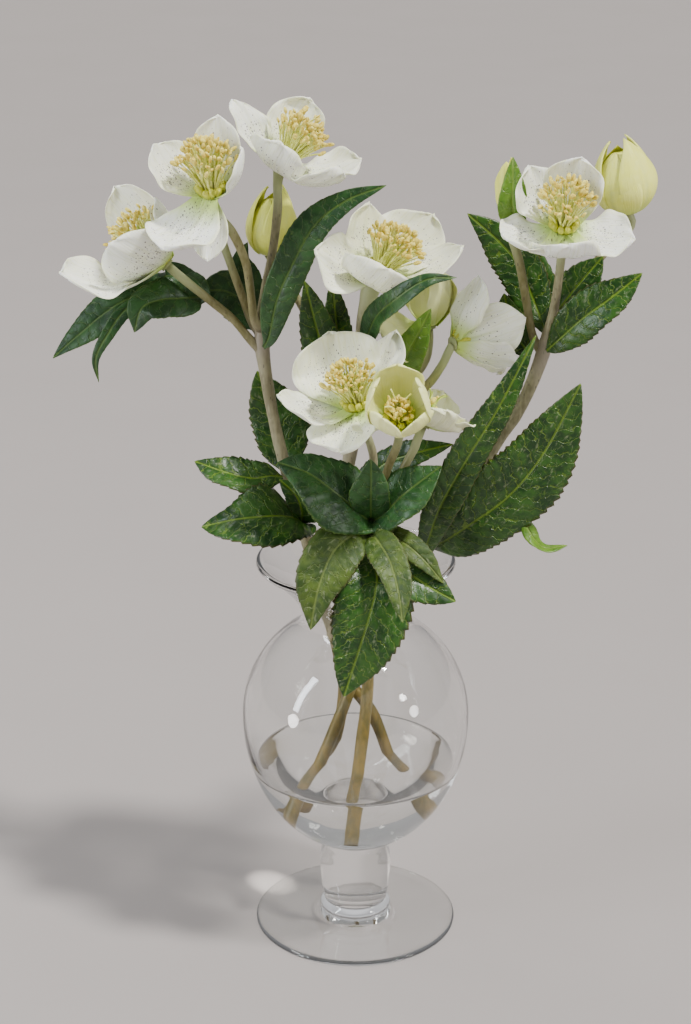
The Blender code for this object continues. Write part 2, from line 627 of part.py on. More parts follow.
def make_stamens(name, flower, collection, material):
    """The brush of stamens round the carpels, as one turned tuft standing on the receptacle."""
    centre, facing, (spread, height), _ = FLOWERS[flower]
    foot = SEPAL_THICKNESS / 2 + GAP
    profile = [(0.0, height), (spread * 0.7, height - 0.5), (spread, height * 0.82),
               (spread * 0.8, height * 0.5), (spread * 0.42, height * 0.2), (2.4, foot), (0.0, foot)]
    tuft = turned(name, profile, 10, collection, material)
    place_on_axis(tuft, centre, facing)
    return tuft


def make_bud(name, collection, material):
    """A closed bud: an egg with a pointed top, turned about its own axis."""
    centre, facing, length, radius = BUDS[name]
    profile = []
    steps = 7
    for index in range(steps + 1):
        share = 1 - index / steps
        profile.append((radius * math.sin(math.pi * share ** 0.8) ** 0.75 if 0 < share < 1 else 0.0,
                        length * share))
    bud = turned(name, profile, 14, collection, material)
    place_on_axis(bud, centre, facing)
    return bud


def looking(face, share):
    """The way a blade's upper face looks. A blade that turns has one for its base and one for
    its outer half."""
    if isinstance(face[0], tuple):
        return Vector(face[0]).normalized().lerp(Vector(face[1]).normalized(), min(share * 2, 1.0))
    return Vector(face)


def make_blade(name, route, half_width, fold, face, collection, material=None):
    """A leaf blade: a grid whose long way follows the route and whose cross-section is folded
    along the midrib. Its width swells from a narrow stalk and comes back to a point."""
    samples = [Vector(point) for point in smooth_path(route, 0.5)]
    shape = bmesh.new()
    bmesh.ops.create_grid(shape, x_segments=BLADE_LENGTH_STEPS, y_segments=4, size=0.5)
    tilt = math.radians(fold)
    for vertex in shape.verts:
        share, side = vertex.co.x + 0.5, vertex.co.y * 2
        place = share * (len(samples) - 1)
        index = min(int(place), len(samples) - 2)
        middle = samples[index].lerp(samples[index + 1], place - index)
        low, high = max(index - 6, 0), min(index + 7, len(samples) - 1)
        along = (samples[high] - samples[low]).normalized()
        across = along.cross(looking(face, share)).normalized()
        normal = across.cross(along).normalized()
        swell = math.sin(math.pi * min(share ** 0.85, 1.0)) ** 0.8 if 0 < share < 1 else 0.0
        narrow = PETIOLE_HALF_WIDTH * (1 - share) + 0.5 * share
        width = max(narrow, half_width * swell)
        vertex.co = (middle + across * (side * width * math.cos(tilt))
                     + normal * (abs(side) * width * math.sin(tilt))) * MM
    mesh = bpy.data.meshes.new(name)
    shape.to_mesh(mesh)
    shape.free()
    blade = make_object(name, mesh, collection, material)
    thicken(blade, BLADE_THICKNESS)
    return blade


def make_leaf(name, collection, cutters, samples, material):
    """A leaf on its stem. A divided leaf is a short stalk with its lobes joined to it."""
    parent, start, fork, lobes = LEAVES[name]
    if fork is None:
        points, half_width, fold, face = lobes[0]
        first = clear_of_stem(samples[parent], start, points[0], PETIOLE_HALF_WIDTH, face)
        return make_blade(name, [tuple(first)] + points, half_width, fold, face, collection, material)
    first = clear_of_stem(samples[parent], start, fork, PETIOLE_RADIUS)
    way = (Vector(fork) - first).normalized()
    stop = Vector(fork) + way * 1.5
    stalk = [(*first, PETIOLE_RADIUS), (*fork, PETIOLE_RADIUS), (*stop, PETIOLE_RADIUS * 0.7)]
    leaf = tube_mesh(tube(name + "_stalk", stalk, collection))
    leaf.name = name
    leaf.data.materials.append(material)
    for number, (points, half_width, fold, face) in enumerate(lobes):
        root = tuple(Vector(fork) - way * (0.5 * number))
        lobe = make_blade(f"{name}_lobe_{number}", [root] + points, half_width, fold, face, cutters)
        lobe.hide_render = True
        lobe.display_type = "WIRE"
        join = leaf.modifiers.new(f"lobe_{number}", "BOOLEAN")
        join.operation = "UNION"
        join.solver = "EXACT"
        join.use_self = True
        join.object = lobe
    return leaf


def main():
    clear_scene()
    bouquet = make_collection("hellebore_bouquet")
    cutters = make_collection("cutters", hidden=True)
    make_vase(bouquet)
    samples = make_stems(bouquet)
    make_water(bouquet, cutters, {name: samples[name] for name in MAIN_STEMS})
    white = make_material("sepal_white", SEPAL_WHITE, 0.5)
    cream = make_material("sepal_cream", SEPAL_CREAM, 0.5)
    yellow = make_material("stamen_yellow", STAMEN_YELLOW, 0.6)
    for flower, (_, _, brush, _) in FLOWERS.items():
        number = flower.split("_")[1]
        make_calyx("sepals_" + number, flower, bouquet, white)
        if brush is not None:
            make_stamens("stamens_" + number, flower, bouquet, yellow)
    for bud in BUDS:
        make_bud(bud, bouquet, cream)
    leaf_skin = make_material("leaf_skin", LEAF_GREEN, 0.4)
    bract_skin = make_material("bract_skin", BRACT_GREEN, 0.4)
    for name in LEAVES:
        make_leaf(name, bouquet, cutters, samples, bract_skin if name == "bract_12" else leaf_skin)


main()
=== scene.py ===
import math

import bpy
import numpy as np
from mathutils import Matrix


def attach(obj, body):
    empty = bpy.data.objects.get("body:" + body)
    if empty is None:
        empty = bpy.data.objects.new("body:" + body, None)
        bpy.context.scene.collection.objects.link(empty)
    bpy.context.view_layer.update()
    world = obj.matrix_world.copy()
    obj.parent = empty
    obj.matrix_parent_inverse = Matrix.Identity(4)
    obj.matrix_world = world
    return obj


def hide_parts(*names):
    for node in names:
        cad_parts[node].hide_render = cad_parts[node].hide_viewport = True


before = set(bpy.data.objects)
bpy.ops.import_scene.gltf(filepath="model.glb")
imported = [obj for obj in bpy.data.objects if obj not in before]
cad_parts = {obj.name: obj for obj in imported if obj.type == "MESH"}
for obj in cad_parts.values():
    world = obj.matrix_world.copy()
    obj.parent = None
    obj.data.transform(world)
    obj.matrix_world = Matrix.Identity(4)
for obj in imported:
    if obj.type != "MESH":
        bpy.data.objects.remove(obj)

# A bouquet of hellebores in a footed glass vase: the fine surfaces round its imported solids.
# Lengths are millimetres until a mesh is made, and metres in the materials, floor, lamps and
# camera. X is to the right, Y away from the camera and Z up, from the centre of the foot's
# underside.

MM = 0.001
GOLDEN = math.pi * (3 - math.sqrt(5))
FULL_TURN = 2 * np.pi
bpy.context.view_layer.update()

# The vase: the bowl is half an egg below its waist and part of a ball above it, up to the
# shoulder. The levels are heights above the table.
WAIST = 119.6
BOWL_RADIUS, BOWL_DEPTH = 58.4, 74.0
WALL, BOWL_FLOOR = 2.5, 6.4
SHOULDER = 167.0
NECK_RADIUS, NECK_LEVEL = 27.8, 175.0
LIP_RADIUS, LIP_LEVEL = 50.2, 205.0
WATER_LEVEL, WATER_CLIMB = 93.0, 1.3
WATER_IN_GLASS = 0.25

STEM_RADIUS, PEDICEL_RADIUS = 3.1, 2.1
SEPAL_THICKNESS, BUD_THICKNESS, LEAF_THICKNESS = 0.7, 0.6, 0.55
TOOTH_PITCH, VEIN_PITCH = 4.2, 6.2
LATEST_PHASE = 6.28      # waves in sepals and leaves start anywhere from 0 to this

# Where everything stands

# Stems as x, y, z and radius, from the cut end in the water to the flower. A point without
# a radius has the usual one.
STEMS = {
    "stem_left": [(26, 12, 66, 3.2), (19, 9, 86, 3.15), (9, 6, 116), (-6, 4, 141),
                  (-14, 4, 175), (-25, 3, 215), (-36, 2, 258, 3.0), (-41, 2, 282, 3.0),
                  (-45, 3, 308, 3.2), (-46, 4, 321, 3.6), (-44.5, 3, 345, 2.1),
                  (-40.5, 0, 364, 2.1), (-37.6, -2, 386, 2.1), (-37.4, -2.8, 399, 2.2),
                  (-36.4, -3, 406.5, 3.0)],
    "stem_right": [(-28, -8, 66, 3.2), (-22, -6, 84, 3.15), (-5, -3, 128), (9, 2, 172),
                   (22, 3, 196), (37, 2, 213, 3.3), (55, 1, 241, 3.0), (72, 0, 272, 3.0),
                   (79, 0, 283, 3.0), (86, 0, 299), (92, 0, 318, 3.7), (96, -3, 341, 2.2),
                   (98, -9.8, 371.3, 2.1), (98, -11.8, 378.4, 3.0)],
    "stem_front": [(-2, -21, 62, 3.2), (0, -20, 85, 3.15), (3, -17, 110), (6, -15, 140),
                   (6, -16, 172), (5, -19, 195), (5, -24, 222, 3.3), (7, -27, 238, 3.3),
                   (8, -28, 259, 2.1), (8, -29, 273, 2.1), (3, -34.2, 290.5, 2.2),
                   (1.2, -35.8, 297.4, 3.0)],
    "stem_back": [(-16, 26, 70, 3.2), (-12, 24, 86, 3.15), (-6, 18, 123), (-8, 12, 167),
                  (-8, 11, 195), (-7, 12, 222, 3.0), (-4, 11, 250), (-2, 10, 266, 3.4),
                  (0, 8, 295, 2.3), (1.5, 5, 318, 2.0), (2.5, 2, 330, 2.3), (5.0, 0.2, 341, 3.5),
                  (6.6, -0.4, 346, 4.6), (9.7, -0.9, 352.4, 3.4)],
    "pedicel_1": [(-46.5, 3.5, 315), (-52, 3, 321), (-60, 3, 331), (-70, 2, 340),
                  (-85, -0.8, 353.7), (-90.6, -0.1, 358.6)],
    "pedicel_2": [(-46.5, 2.8, 326.5), (-49.5, -0.5, 332), (-51, -4, 348), (-53, -8, 363),
                  (-59, -13, 379), (-66.6, -20, 390.3), (-67.4, -21.8, 397.4)],
    "pedicel_hidden": [(-46.5, 4.5, 323), (-51, 6.5, 329), (-56, 7, 343), (-64, 7, 367),
                       (-66, 7, 374)],
    "pedicel_6": [(8, -28, 250), (13, -32, 260), (16, -37, 271), (19, -43, 281),
                  (20.4, -49.6, 291), (20, -54.5, 298.5)],
    "pedicel_7": [(6.5, -26, 233.5), (14, -26, 242), (22, -26, 262), (28, -27, 275),
                  (29.2, -27.7, 279), (31.8, -25.2, 285.4)],
    "pedicel_8": [(-1, 10, 265), (8, 7, 274), (22, 2, 286), (35, -2, 299), (41.5, -6, 310),
                  (44.2, -6.4, 316), (46.6, -5.3, 320.6)],
    "pedicel_9": [(-0.5, 9.5, 275.5), (12, 11, 284), (25, 14, 293), (34, 18, 304),
                  (36.1, 19.2, 314), (36, 20, 321.3)],
    "pedicel_11": [(93, -0.5, 322.5), (98, 4, 328), (107, 13, 341), (119, 22, 356),
                   (134.4, 28.2, 370.2), (133, 28, 378)],
    "pedicel_12": [(91, 0, 314), (86, 2, 323), (82.5, 3, 340), (78.5, 4, 360), (73.5, 5, 375),
                   (73, 5, 383)],
    "pedicel_13": [(-2.5, 10, 267), (-9, 13, 290), (-17, 16, 312), (-27, 20, 333),
                   (-38, 24, 349), (-43, 23, 358)],
}

# Open flowers: centre, facing, the stamens' count, spread and height, the carpels' count and
# girth, how green, spotted and ruffled the sepals are, and the sepals in order. A sepal's row
# is its turn in degrees, reach, rise, half width, belly, how far its tip curls back, and for
# some the twist in degrees that shows more of its face.
FLOWERS = {
    "1": dict(centre=(-91, 0, 359), facing=(-0.735, 0.10, 0.67), stamens=(76, 15, 25),
              carpels=(4, 1.3), green=0.16, spots=1.0, ruffle=1.2, sepals=[
        (66, 18, 45, 17, 5, 3), (150, 33, 21, 13, 6, 3), (212, 39, 37, 18, 8, 2, 48),
        (258, 30, 28, 18, 9, 2), (350, 20, 26, 12, 5, 1)]),
    "2": dict(centre=(-67.5, -22, 398), facing=(-0.11, -0.24, 0.965), stamens=(96, 13, 23),
              carpels=(4, 1.3), green=0.12, spots=1.0, ruffle=0.9, sepals=[
        (72, 19, 33, 12, 4, 2), (150, 27, 24, 17, 5, 3), (234, 39, -5, 19, 8, 4),
        (258, 21, -24, 9, 3, 0), (352, 16, 25, 13, 6, 2)]),
    "3": dict(centre=(-36, -3, 407), facing=(0.525, -0.04, 0.85), stamens=(96, 13, 23),
              carpels=(5, 1.3), green=0.16, spots=0.7, ruffle=2.0, sepals=[
        (20, 33, 23, 14, 6, 2), (96, 24, 31, 14, 6, 2), (163, 32, 21, 10, 5, 9, 34),
        (250, 27, 20, 15, 9, 4), (318, 29, 22, 14, 9, 4)]),
    "4": dict(centre=(10, -1, 353), facing=(0.46, -0.08, 0.885), stamens=(96, 13, 22),
              carpels=(4, 1.3), green=0.26, spots=0.8, ruffle=1.2, sepals=[
        (12, 30, 33, 14, 7, 2), (64, 33, 33, 18, 7, 3), (130, 26, 27, 15, 6, 2),
        (207, 40, 8, 15, 5, 4, 48), (265, 28, 19, 19, 10, 4)]),
    "5": dict(centre=(1, -36, 298), facing=(-0.25, -0.22, 0.94), stamens=(84, 12, 20),
              carpels=(4, 1.3), green=0.22, spots=0.9, ruffle=1.2, sepals=[
        (57, 42, 20, 12, 5, 3), (104, 31, 28, 22, 7, 2), (185, 34, 21, 14, 8, 2),
        (249, 30, -2, 18, 4, 3), (305, 20, -2, 12, 3, 1)]),
    "6": dict(centre=(20, -55, 299), facing=(-0.05, -0.66, 0.75), stamens=(40, 6, 12),
              carpels=(4, 0.9), green=0.72, spots=0.0, ruffle=0.8, sepals=[
        (18, 13, 25, 11, 6, -2), (90, 15, 26, 12, 6, 0), (162, 14, 25, 11, 6, -3),
        (234, 12, 21, 11, 6, 1), (306, 13, 20, 11, 6, 1)]),
    "7": dict(centre=(32, -25, 286), facing=(0.35, 0.34, 0.87), stamens=(4, 5, 11),
              carpels=(5, 2.2), green=0.42, spots=0.0, ruffle=2.2, sepals=[
        (6, 24, 15, 16, 5, 4), (80, 22, 21, 12, 5, 2), (150, 20, 17, 12, 4, 2),
        (215, 14, 14, 11, 4, 3), (290, 22, 12, 13, 5, 3)]),
    "8": dict(centre=(47, -5, 321), facing=(0.85, 0.50, 0.17), stamens=(34, 7, 17),
              carpels=(4, 1.2), green=0.14, spots=0.3, ruffle=1.4, sepals=[
        (20, 20, 26, 12, 3, 3), (80, 22, 27, 13, 3, 4), (165, 22, 32, 14, 4, 4),
        (250, 25, 23, 14, 3, 5), (320, 18, 32, 13, 3, 3)]),
    "9": dict(centre=(36, 20, 322), facing=(-0.02, 0.1, 0.99), stamens=None,
              carpels=(0, 0), green=0.66, spots=0.0, ruffle=0.8, sepals=[
        (40, 8, 28, 12, 5, 0), (110, 9, 26, 11, 5, 0), (212, 30, 6, 17, 6, 3, 50),
        (262, 9, 24, 10, 4, 0), (325, 8, 28, 12, 5, 0)]),
    "10": dict(centre=(98, -12, 379), facing=(0.0, -0.38, 0.925), stamens=(92, 13, 21),
               carpels=(5, 1.3), green=0.10, spots=1.0, ruffle=1.6, sepals=[
        (64, 16, 32, 15, 6, 2), (128, 26, 23, 14, 5, 2), (206, 32, 10, 16, 7, 3),
        (270, 24, 12, 17, 10, 3), (345, 34, 4, 17, 6, 3)]),
}

# Buds: centre, facing, length, radius, how many sepals show and how yellow they are.
BUDS = {
    "bud_11": ((133, 28, 378), (-0.18, -0.02, 0.98), 38, 15.6, 5, 0.93),
    "bud_12": ((73, 5, 383), (-0.06, 0.0, 1.0), 27, 6.4, 3, 1.0),
    "bud_13": ((-43, 23, 358), (0.10, 0.05, 0.99), 35, 12.4, 5, 0.97),
}

# Leaves: the solids they stand for, their skin, and the lobes. A lobe is its midrib's points,
# half width, fold in degrees, and where its upper face looks, at the base and at the tip
# where they differ.
LEAVES = {
    "leaf_whorl_upper": ("leaf_blue", [
        ([(7, -30.5, 240), (6, -36, 241), (0, -40, 248), (-10, -42, 258),
          (-23, -40, 267), (-38, -36, 271)],
         18, 10, (0, -0.7, 0.7), (0, -0.6, 0.8)),
        ([(7, -31, 241), (7, -36, 243), (7, -41, 252), (7, -44, 262), (7, -45, 276)],
         10.5, 16, (0, -0.95, 0.3)),
        ([(7.5, -30.5, 240), (9, -36, 241), (15, -40, 248), (24, -42, 258), (41, -38, 270)],
         14, 14, (0, -0.7, 0.7), (0, -0.6, 0.8)),
    ]),
    "leaf_whorl_lower": ("leaf_olive", [
        ([(6.5, -30, 234), (5, -37, 235), (-1, -44, 237), (-11, -54, 232),
          (-18, -62, 217), (-22, -65, 196)],
         13.5, 14, (-0.1, -0.85, 0.5), (-0.1, -0.9, 0.4)),
        ([(6.8, -30, 234), (7.5, -38, 234), (10, -46, 235), (16, -58, 229),
          (20, -69, 218), (22, -77, 205)],
         9.5, 22, (0, -0.9, 0.45)),
        ([(7, -30, 234), (10, -36, 234), (16, -41, 235), (25, -49, 233),
          (33, -54, 227), (42, -55, 216)],
         7.5, 16, (0.2, -0.75, 0.6)),
    ]),
    "leaf_over_lip": ("leaf_dark", [
        ([(5.5, -27, 219), (8, -40, 224), (10, -54, 218), (6, -61, 200), (-6, -62, 159)],
         20, 14, (0, 0, 1), (0, -1, 0.2)),
        ([(6.5, -30, 220), (14, -43, 223), (25, -52, 220), (36, -56, 214), (48, -56, 207)],
         13, 12, (0, 0, 1), (0.2, -0.9, 0.5)),
    ]),
    "leaf_right_large": ("leaf_dark", [
        ([(37, -1.5, 213), (44, -13, 221), (57, -22, 234), (75, -25, 250),
          (91, -27, 273), (107, -30, 309)],
         20, 12, (0.15, -0.95, 0.25)),
    ]),
    "leaf_right_curl": ("leaf_fresh", [
        ([(81, -24, 240), (86, -25, 229), (93, -25, 222), (104, -24, 223)],
         4.5, 10, (-0.2, -0.6, 0.6), (0, -0.3, 0.95)),
    ]),
    "leaf_right_narrow": ("leaf_dark", [
        ([(31, -1, 207), (34, -10, 214), (41, -24, 243), (54, -31, 272),
          (68, -33, 298), (85, -30, 333)],
         9.8, 16, (0.1, -0.9, 0.3)),
    ]),
    "leaf_middle": ("leaf_dark", [
        ([(-2.5, 10.5, 238.5), (7, 7, 248), (16, 5, 256), (32, 1, 263), (48, 1, 267)],
         8.5, 12, (0, -0.8, 0.6)),
    ]),
    "leaf_mid_left_upper": ("leaf_dark", [
        ([(-36.5, -0.5, 250), (-42, -4, 252), (-52, -7, 252), (-65, -6, 255), (-80, -2, 259)],
         11.5, 14, (0, -0.55, 0.83)),
    ]),
    "leaf_mid_left_lower": ("leaf_dark", [
        ([(-26.5, -1, 224), (-27, -8, 229), (-33, -18, 236), (-44, -25, 239),
          (-59, -27, 238), (-76, -22, 232)],
         18, 10, (0, -0.6, 0.8)),
        ([(-26.5, -1, 224), (-26.7, -7, 229), (-27, -10, 236), (-30, -9, 244), (-38, -6, 251)],
         8.5, 14, (0, -0.8, 0.6)),
    ]),
    "leaf_behind_left_stem": ("leaf_dark", [
        ([(-33.5, 5.5, 250), (-35, 12, 258), (-39, 15, 274), (-44, 15, 287), (-49, 14, 301)],
         14.5, 8, (0, -1, 0.1)),
    ]),
    "leaf_below_flower_1": ("leaf_blue", [
        ([(-71, 4.5, 340.5), (-77, 9, 341), (-86, 13, 343), (-104, 13, 341),
          (-119, 9, 335), (-136, 4, 322), (-148, 0, 312)],
         11.5, 14, (-0.3, -0.75, 0.6)),
        ([(-71, 4.5, 340.5), (-76, 6, 341), (-84, 1, 342), (-94, -5, 343),
          (-103, -9, 340), (-107, -9, 328)],
         11.5, 14, (-0.1, -0.8, 0.6)),
        ([(-86, 6, 343), (-100, 6, 341), (-112, 2, 336), (-121, -1, 324),
          (-127, -1, 312), (-126, -1, 300)],
         3.6, 10, (0, -1, 0.3)),
        ([(-71, 5, 341), (-77, 10, 343), (-86, 15, 349), (-94, 17, 356)],
         8, 10, (0, -0.8, 0.6)),
    ]),
    "leaf_left_fork": ("leaf_blue", [
        ([(-47, 7, 322.5), (-49, 11, 327), (-55, 15, 335), (-64, 17, 341), (-80, 17, 341)],
         11.5, 8, (0.1, -0.9, 0.4)),
        ([(-47, 7, 322.5), (-49, 12, 328), (-51, 17, 336), (-53, 20, 346),
          (-56, 20, 356), (-53, 20, 365)],
         8, 14, (0, -0.95, 0.3)),
    ]),
    "leaf_long_upright": ("leaf_blue", [
        ([(-45, -0.5, 317.5), (-42, -8, 326), (-38, -13, 345), (-31, -15, 362),
          (-20, -15, 382), (-5, -14, 394), (14, -12, 401)],
         9.5, 16, (-0.3, -0.9, 0.2), (0.2, -0.8, 0.5)),
    ]),
    "leaf_behind_flower_5": ("leaf_dark", [
        ([(-3, 7.5, 284.5), (-6, 5.5, 290), (-12, 3, 301), (-18, 2, 322), (-25, 1, 351)],
         10.5, 12, (0, -1, 0.1)),
        ([(-3, 7.5, 284.5), (-6, 6, 291), (-8, 7, 303), (-9.5, 8, 325), (-12, 10, 351)],
         8, 10, (0, -1, 0.1)),
    ]),
    "leaf_before_flower_4": ("leaf_blue", [
        ([(1.6, 4.5, 308), (4, -1, 318), (9, -14, 336), (17, -29, 349),
          (32, -34, 361), (47, -29, 361)],
         7, 18, (-0.3, -0.8, 0.5)),
    ]),
    "leaf_before_flower_9": ("leaf_fresh", [
        ([(21.6, 1, 289.5), (21, 1, 298), (24, -4, 313), (30, -8, 327), (36, -9, 340)],
         8.5, 12, (0, -0.9, 0.4)),
    ]),
    "leaf_right_upper": ("leaf_dark", [
        ([(92, 4, 323), (91, 9, 327), (87, 15, 337), (80, 19, 353), (70, 20, 365), (54, 21, 379)],
         11.5, 10, (0, -1, 0.2)),
        ([(92, 4, 323), (91.5, 9, 327), (91, 18, 337), (90, 21, 350), (87, 23, 364)],
         8, 12, (0, -1, 0.2)),
    ]),
    "leaf_right_small": ("leaf_dark", [
        ([(96.5, -0.8, 335.5), (99, 1, 338), (106, 4, 346), (119, 5, 362)],
         9.5, 14, (0, -1, 0.2)),
    ]),
    "leaf_right_outer": ("leaf_dark", [
        ([(92.5, -3.8, 317), (97, -8, 323), (108, -14, 336), (121, -16, 347), (136, -14, 359)],
         11.5, 16, (0.2, -0.8, 0.6)),
    ]),
    "leaf_right_inner": ("leaf_dark", [
        ([(86.5, 3.5, 314.5), (82, 7, 316), (76, 9, 326), (72, 10, 342)],
         8.5, 12, (0, -1, 0.2)),
    ]),
    "bract_12": ("leaf_fresh", [
        ([(76, 1.2, 371), (75.6, -3, 380), (74, -5, 391), (74, -4, 401), (74, -1, 412)],
         7, 16, (0, -1, 0)),
    ]),
}

# Arithmetic on curves

def unit(vectors):
    vectors = np.asarray(vectors, float)
    return vectors / np.maximum(np.linalg.norm(vectors, axis=-1, keepdims=True), 1e-9)


def curve_through(points, count):
    """Catmull-Rom curve through the points: between two of them each coordinate is the cubic
    that leaves and arrives along the line joining their neighbours. The curve is then
    sampled again at count places evenly spaced along its length."""
    rows = np.asarray(points, float)
    rows = np.vstack([2 * rows[0] - rows[1], rows, 2 * rows[-1] - rows[-2]])
    places = np.linspace(0, len(rows) - 3, 24 * (len(rows) - 3) + 1)
    leg = np.minimum(places.astype(int), len(rows) - 4)
    t = (places - leg)[:, None]
    a, b, c, d = rows[leg], rows[leg + 1], rows[leg + 2], rows[leg + 3]
    dense = 0.5 * (2 * b + (c - a) * t + (2 * a - 5 * b + 4 * c - d) * t * t
                   + (3 * b - a - 3 * c + d) * t ** 3)
    run = np.linalg.norm(np.diff(dense[:, :3], axis=0), axis=1)
    run = np.concatenate([[0], np.cumsum(run)])
    wanted = np.linspace(0, run[-1], count)
    return np.stack([np.interp(wanted, run, column) for column in dense.T], axis=1)


def flower_axes(facing):
    """The axis, then two directions across it: the first is X made square to the axis, and the
    second is the axis crossed with the first, so turns count from the right and then away."""
    axis = unit(facing)
    right = unit(np.array([1.0, 0, 0]) - axis * axis[0])
    return axis, right, np.cross(axis, right)


def swell(places, peak, power):
    """A hump that is 0 at both ends and 1 at the peak: the sine of pi times the place warped so
    that the peak falls half way, raised to a power."""
    warped = np.clip(places, 0, 1) ** (math.log(0.5) / math.log(peak))
    return np.clip(np.sin(np.pi * warped), 0, 1) ** power


def grid_of(*values):
    """The values as the last axis of one grid, each stretched to the shape they share."""
    return np.stack(np.broadcast_arrays(*values), -1)


# Gathering surfaces into meshes

def ring_faces(rings, sides):
    """Faces that join rings of points one after another, and fans that close both ends round
    two poles, whose points come after the rings' own."""
    index = np.arange(rings * sides).reshape(rings, sides)
    after = np.roll(index, -1, axis=1)
    quads = np.stack([index[:-1], after[:-1], after[1:], index[1:]], -1).reshape(-1, 4)
    start, stop = np.full((2, sides), [[index.size], [index.size + 1]])
    fans = np.vstack([np.stack([start, after[0], index[0]], -1),
                      np.stack([stop, index[-1], after[-1]], -1)])
    return [quads, fans]


class Surfaces:
    """Grids of points gathered for one mesh, with the marks that its materials read."""

    def __init__(self):
        self.points, self.faces, self.slots, self.maps, self.marks = [], [], [], [], []
        self.total = 0

    def take(self, points, faces, slot, mapped, marks):
        count = len(points)
        self.points.append(points)
        self.maps.append(np.broadcast_to(mapped, (count, 2)))
        self.marks.append(np.broadcast_to(marks, (count, 4)))
        for block in faces:
            self.faces += (block + self.total).tolist()
            self.slots += [slot] * len(block)
        self.total += count

    def sheet(self, grid, thickness, mapped, marks, rim=0.35):
        """A thin closed body from a grid of points. Its front is the grid moved half the
        thickness along the normal, its back the grid moved the other way, and the rim joins
        the two. The thickness falls to a share of itself at the rim."""
        rows, columns = grid.shape[:2]
        normal = unit(np.cross(np.gradient(grid, axis=0), np.gradient(grid, axis=1)))
        thick = np.full((rows, columns, 1), thickness * rim / 2)
        thick[1:-1, 1:-1] = thickness / 2
        front = (grid + normal * thick).reshape(-1, 3)
        back = (grid - normal * thick).reshape(-1, 3)
        index = np.arange(rows * columns).reshape(rows, columns)
        quads = np.stack([index[:-1, :-1], index[1:, :-1], index[1:, 1:], index[:-1, 1:]], -1)
        quads = quads.reshape(-1, 4)
        loop = np.concatenate([index[:-1, 0], index[-1, :-1], index[:0:-1, -1], index[0, :0:-1]])
        after = np.roll(loop, -1)
        size = rows * columns
        edge = np.stack([after, loop, loop + size, after + size], -1)
        self.take(np.vstack([front, back]), [quads, quads[:, ::-1] + size, edge], 0,
                  np.vstack([mapped.reshape(-1, 2)] * 2), np.vstack([marks.reshape(-1, 4)] * 2))

    def tube(self, path, radius, sides, slot=0, marks=(0, 0, 0, 0), across=(0, 1, 0)):
        """A round tube: at each point of the path a ring of that radius, square to the path,
        closed at both ends by a fan round the path's own end point."""
        along = unit(np.gradient(path, axis=0))
        first = unit(np.cross(along, across))
        second = np.cross(along, first)
        turn = np.linspace(0, FULL_TURN, sides, endpoint=False)
        ring = (np.cos(turn)[None, :, None] * first[:, None]
                + np.sin(turn)[None, :, None] * second[:, None])
        rings = path[:, None] + ring * np.broadcast_to(radius, (len(path),))[:, None, None]
        points = np.vstack([rings.reshape(-1, 3), path[:1], path[-1:]])
        place = np.linspace(0, 1, len(path))
        mapped = grid_of(place[:, None], turn / FULL_TURN).reshape(-1, 2)
        self.take(points, ring_faces(len(path), sides), slot,
                  np.vstack([mapped, [[0, 0], [1, 0]]]), marks)

    def stamps(self, shape, faces, places, frames, slot):
        """Many copies of one small closed shape: each copy's points are its place plus the
        shape's own points times the copy's three directions."""
        points = places[:, None] + np.einsum("pk,nkc->npc", shape, frames)
        shift = (np.arange(len(places)) * len(shape))[:, None, None]
        blocks = [(block[None] + shift).reshape(-1, block.shape[1]) for block in faces]
        self.take(points.reshape(-1, 3), blocks, slot, (0, 0), (0, 0, 0, 0))

    def mesh_object(self, name, materials):
        mesh = bpy.data.meshes.new(name)
        mesh.from_pydata(np.vstack(self.points) * MM, [], self.faces)
        for material in materials:
            mesh.materials.append(material)
        mesh.polygons.foreach_set("material_index", np.array(self.slots, np.int32))
        corner = np.zeros(len(mesh.loops), np.int32)
        mesh.loops.foreach_get("vertex_index", corner)
        layer = mesh.uv_layers.new(name="UVMap")
        layer.data.foreach_set("uv", np.vstack(self.maps)[corner].ravel().astype(np.float32))
        for number, mark in enumerate(("along", "across", "green", "spots")):
            kept = mesh.attributes.new(mark, "FLOAT", "POINT")
            kept.data.foreach_set("value", np.vstack(self.marks)[:, number].astype(np.float32))
        mesh.shade_smooth()
        mesh.update()
        made = bpy.data.objects.new(name, mesh)
        bpy.context.scene.collection.objects.link(made)
        return made


def stand_for(made, nodes, slot):
    """The piece rides with the bouquet and stands for its solids, which are hidden. The slot is not
    used.
    """
    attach(made, "root")
    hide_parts(*nodes.split())


# Materials

class Wire:
    """A node's output, reckoned with like a number: each sign puts a Math node behind it, and
    a name in brackets is another output of the same node."""

    def __init__(self, nodes, socket):
        self.nodes, self.socket = nodes, socket

    def __getitem__(self, name):
        return Wire(self.nodes, self.socket.node.outputs[name])

    def __add__(self, other):
        return self.nodes.math("ADD", self, other)

    def __sub__(self, other):
        return self.nodes.math("SUBTRACT", self, other)

    def __mul__(self, other):
        return self.nodes.math("MULTIPLY", self, other)

    def __truediv__(self, other):
        return self.nodes.math("DIVIDE", self, other)

    def __pow__(self, other):
        return self.nodes.math("POWER", self, other)

    def __abs__(self):
        return self.nodes.math("ABSOLUTE", self)

    def __lt__(self, other):
        return self.nodes.math("LESS_THAN", self, other)

    def __gt__(self, other):
        return self.nodes.math("GREATER_THAN", self, other)

    def __or__(self, other):
        return self.nodes.math("MAXIMUM", self, other)


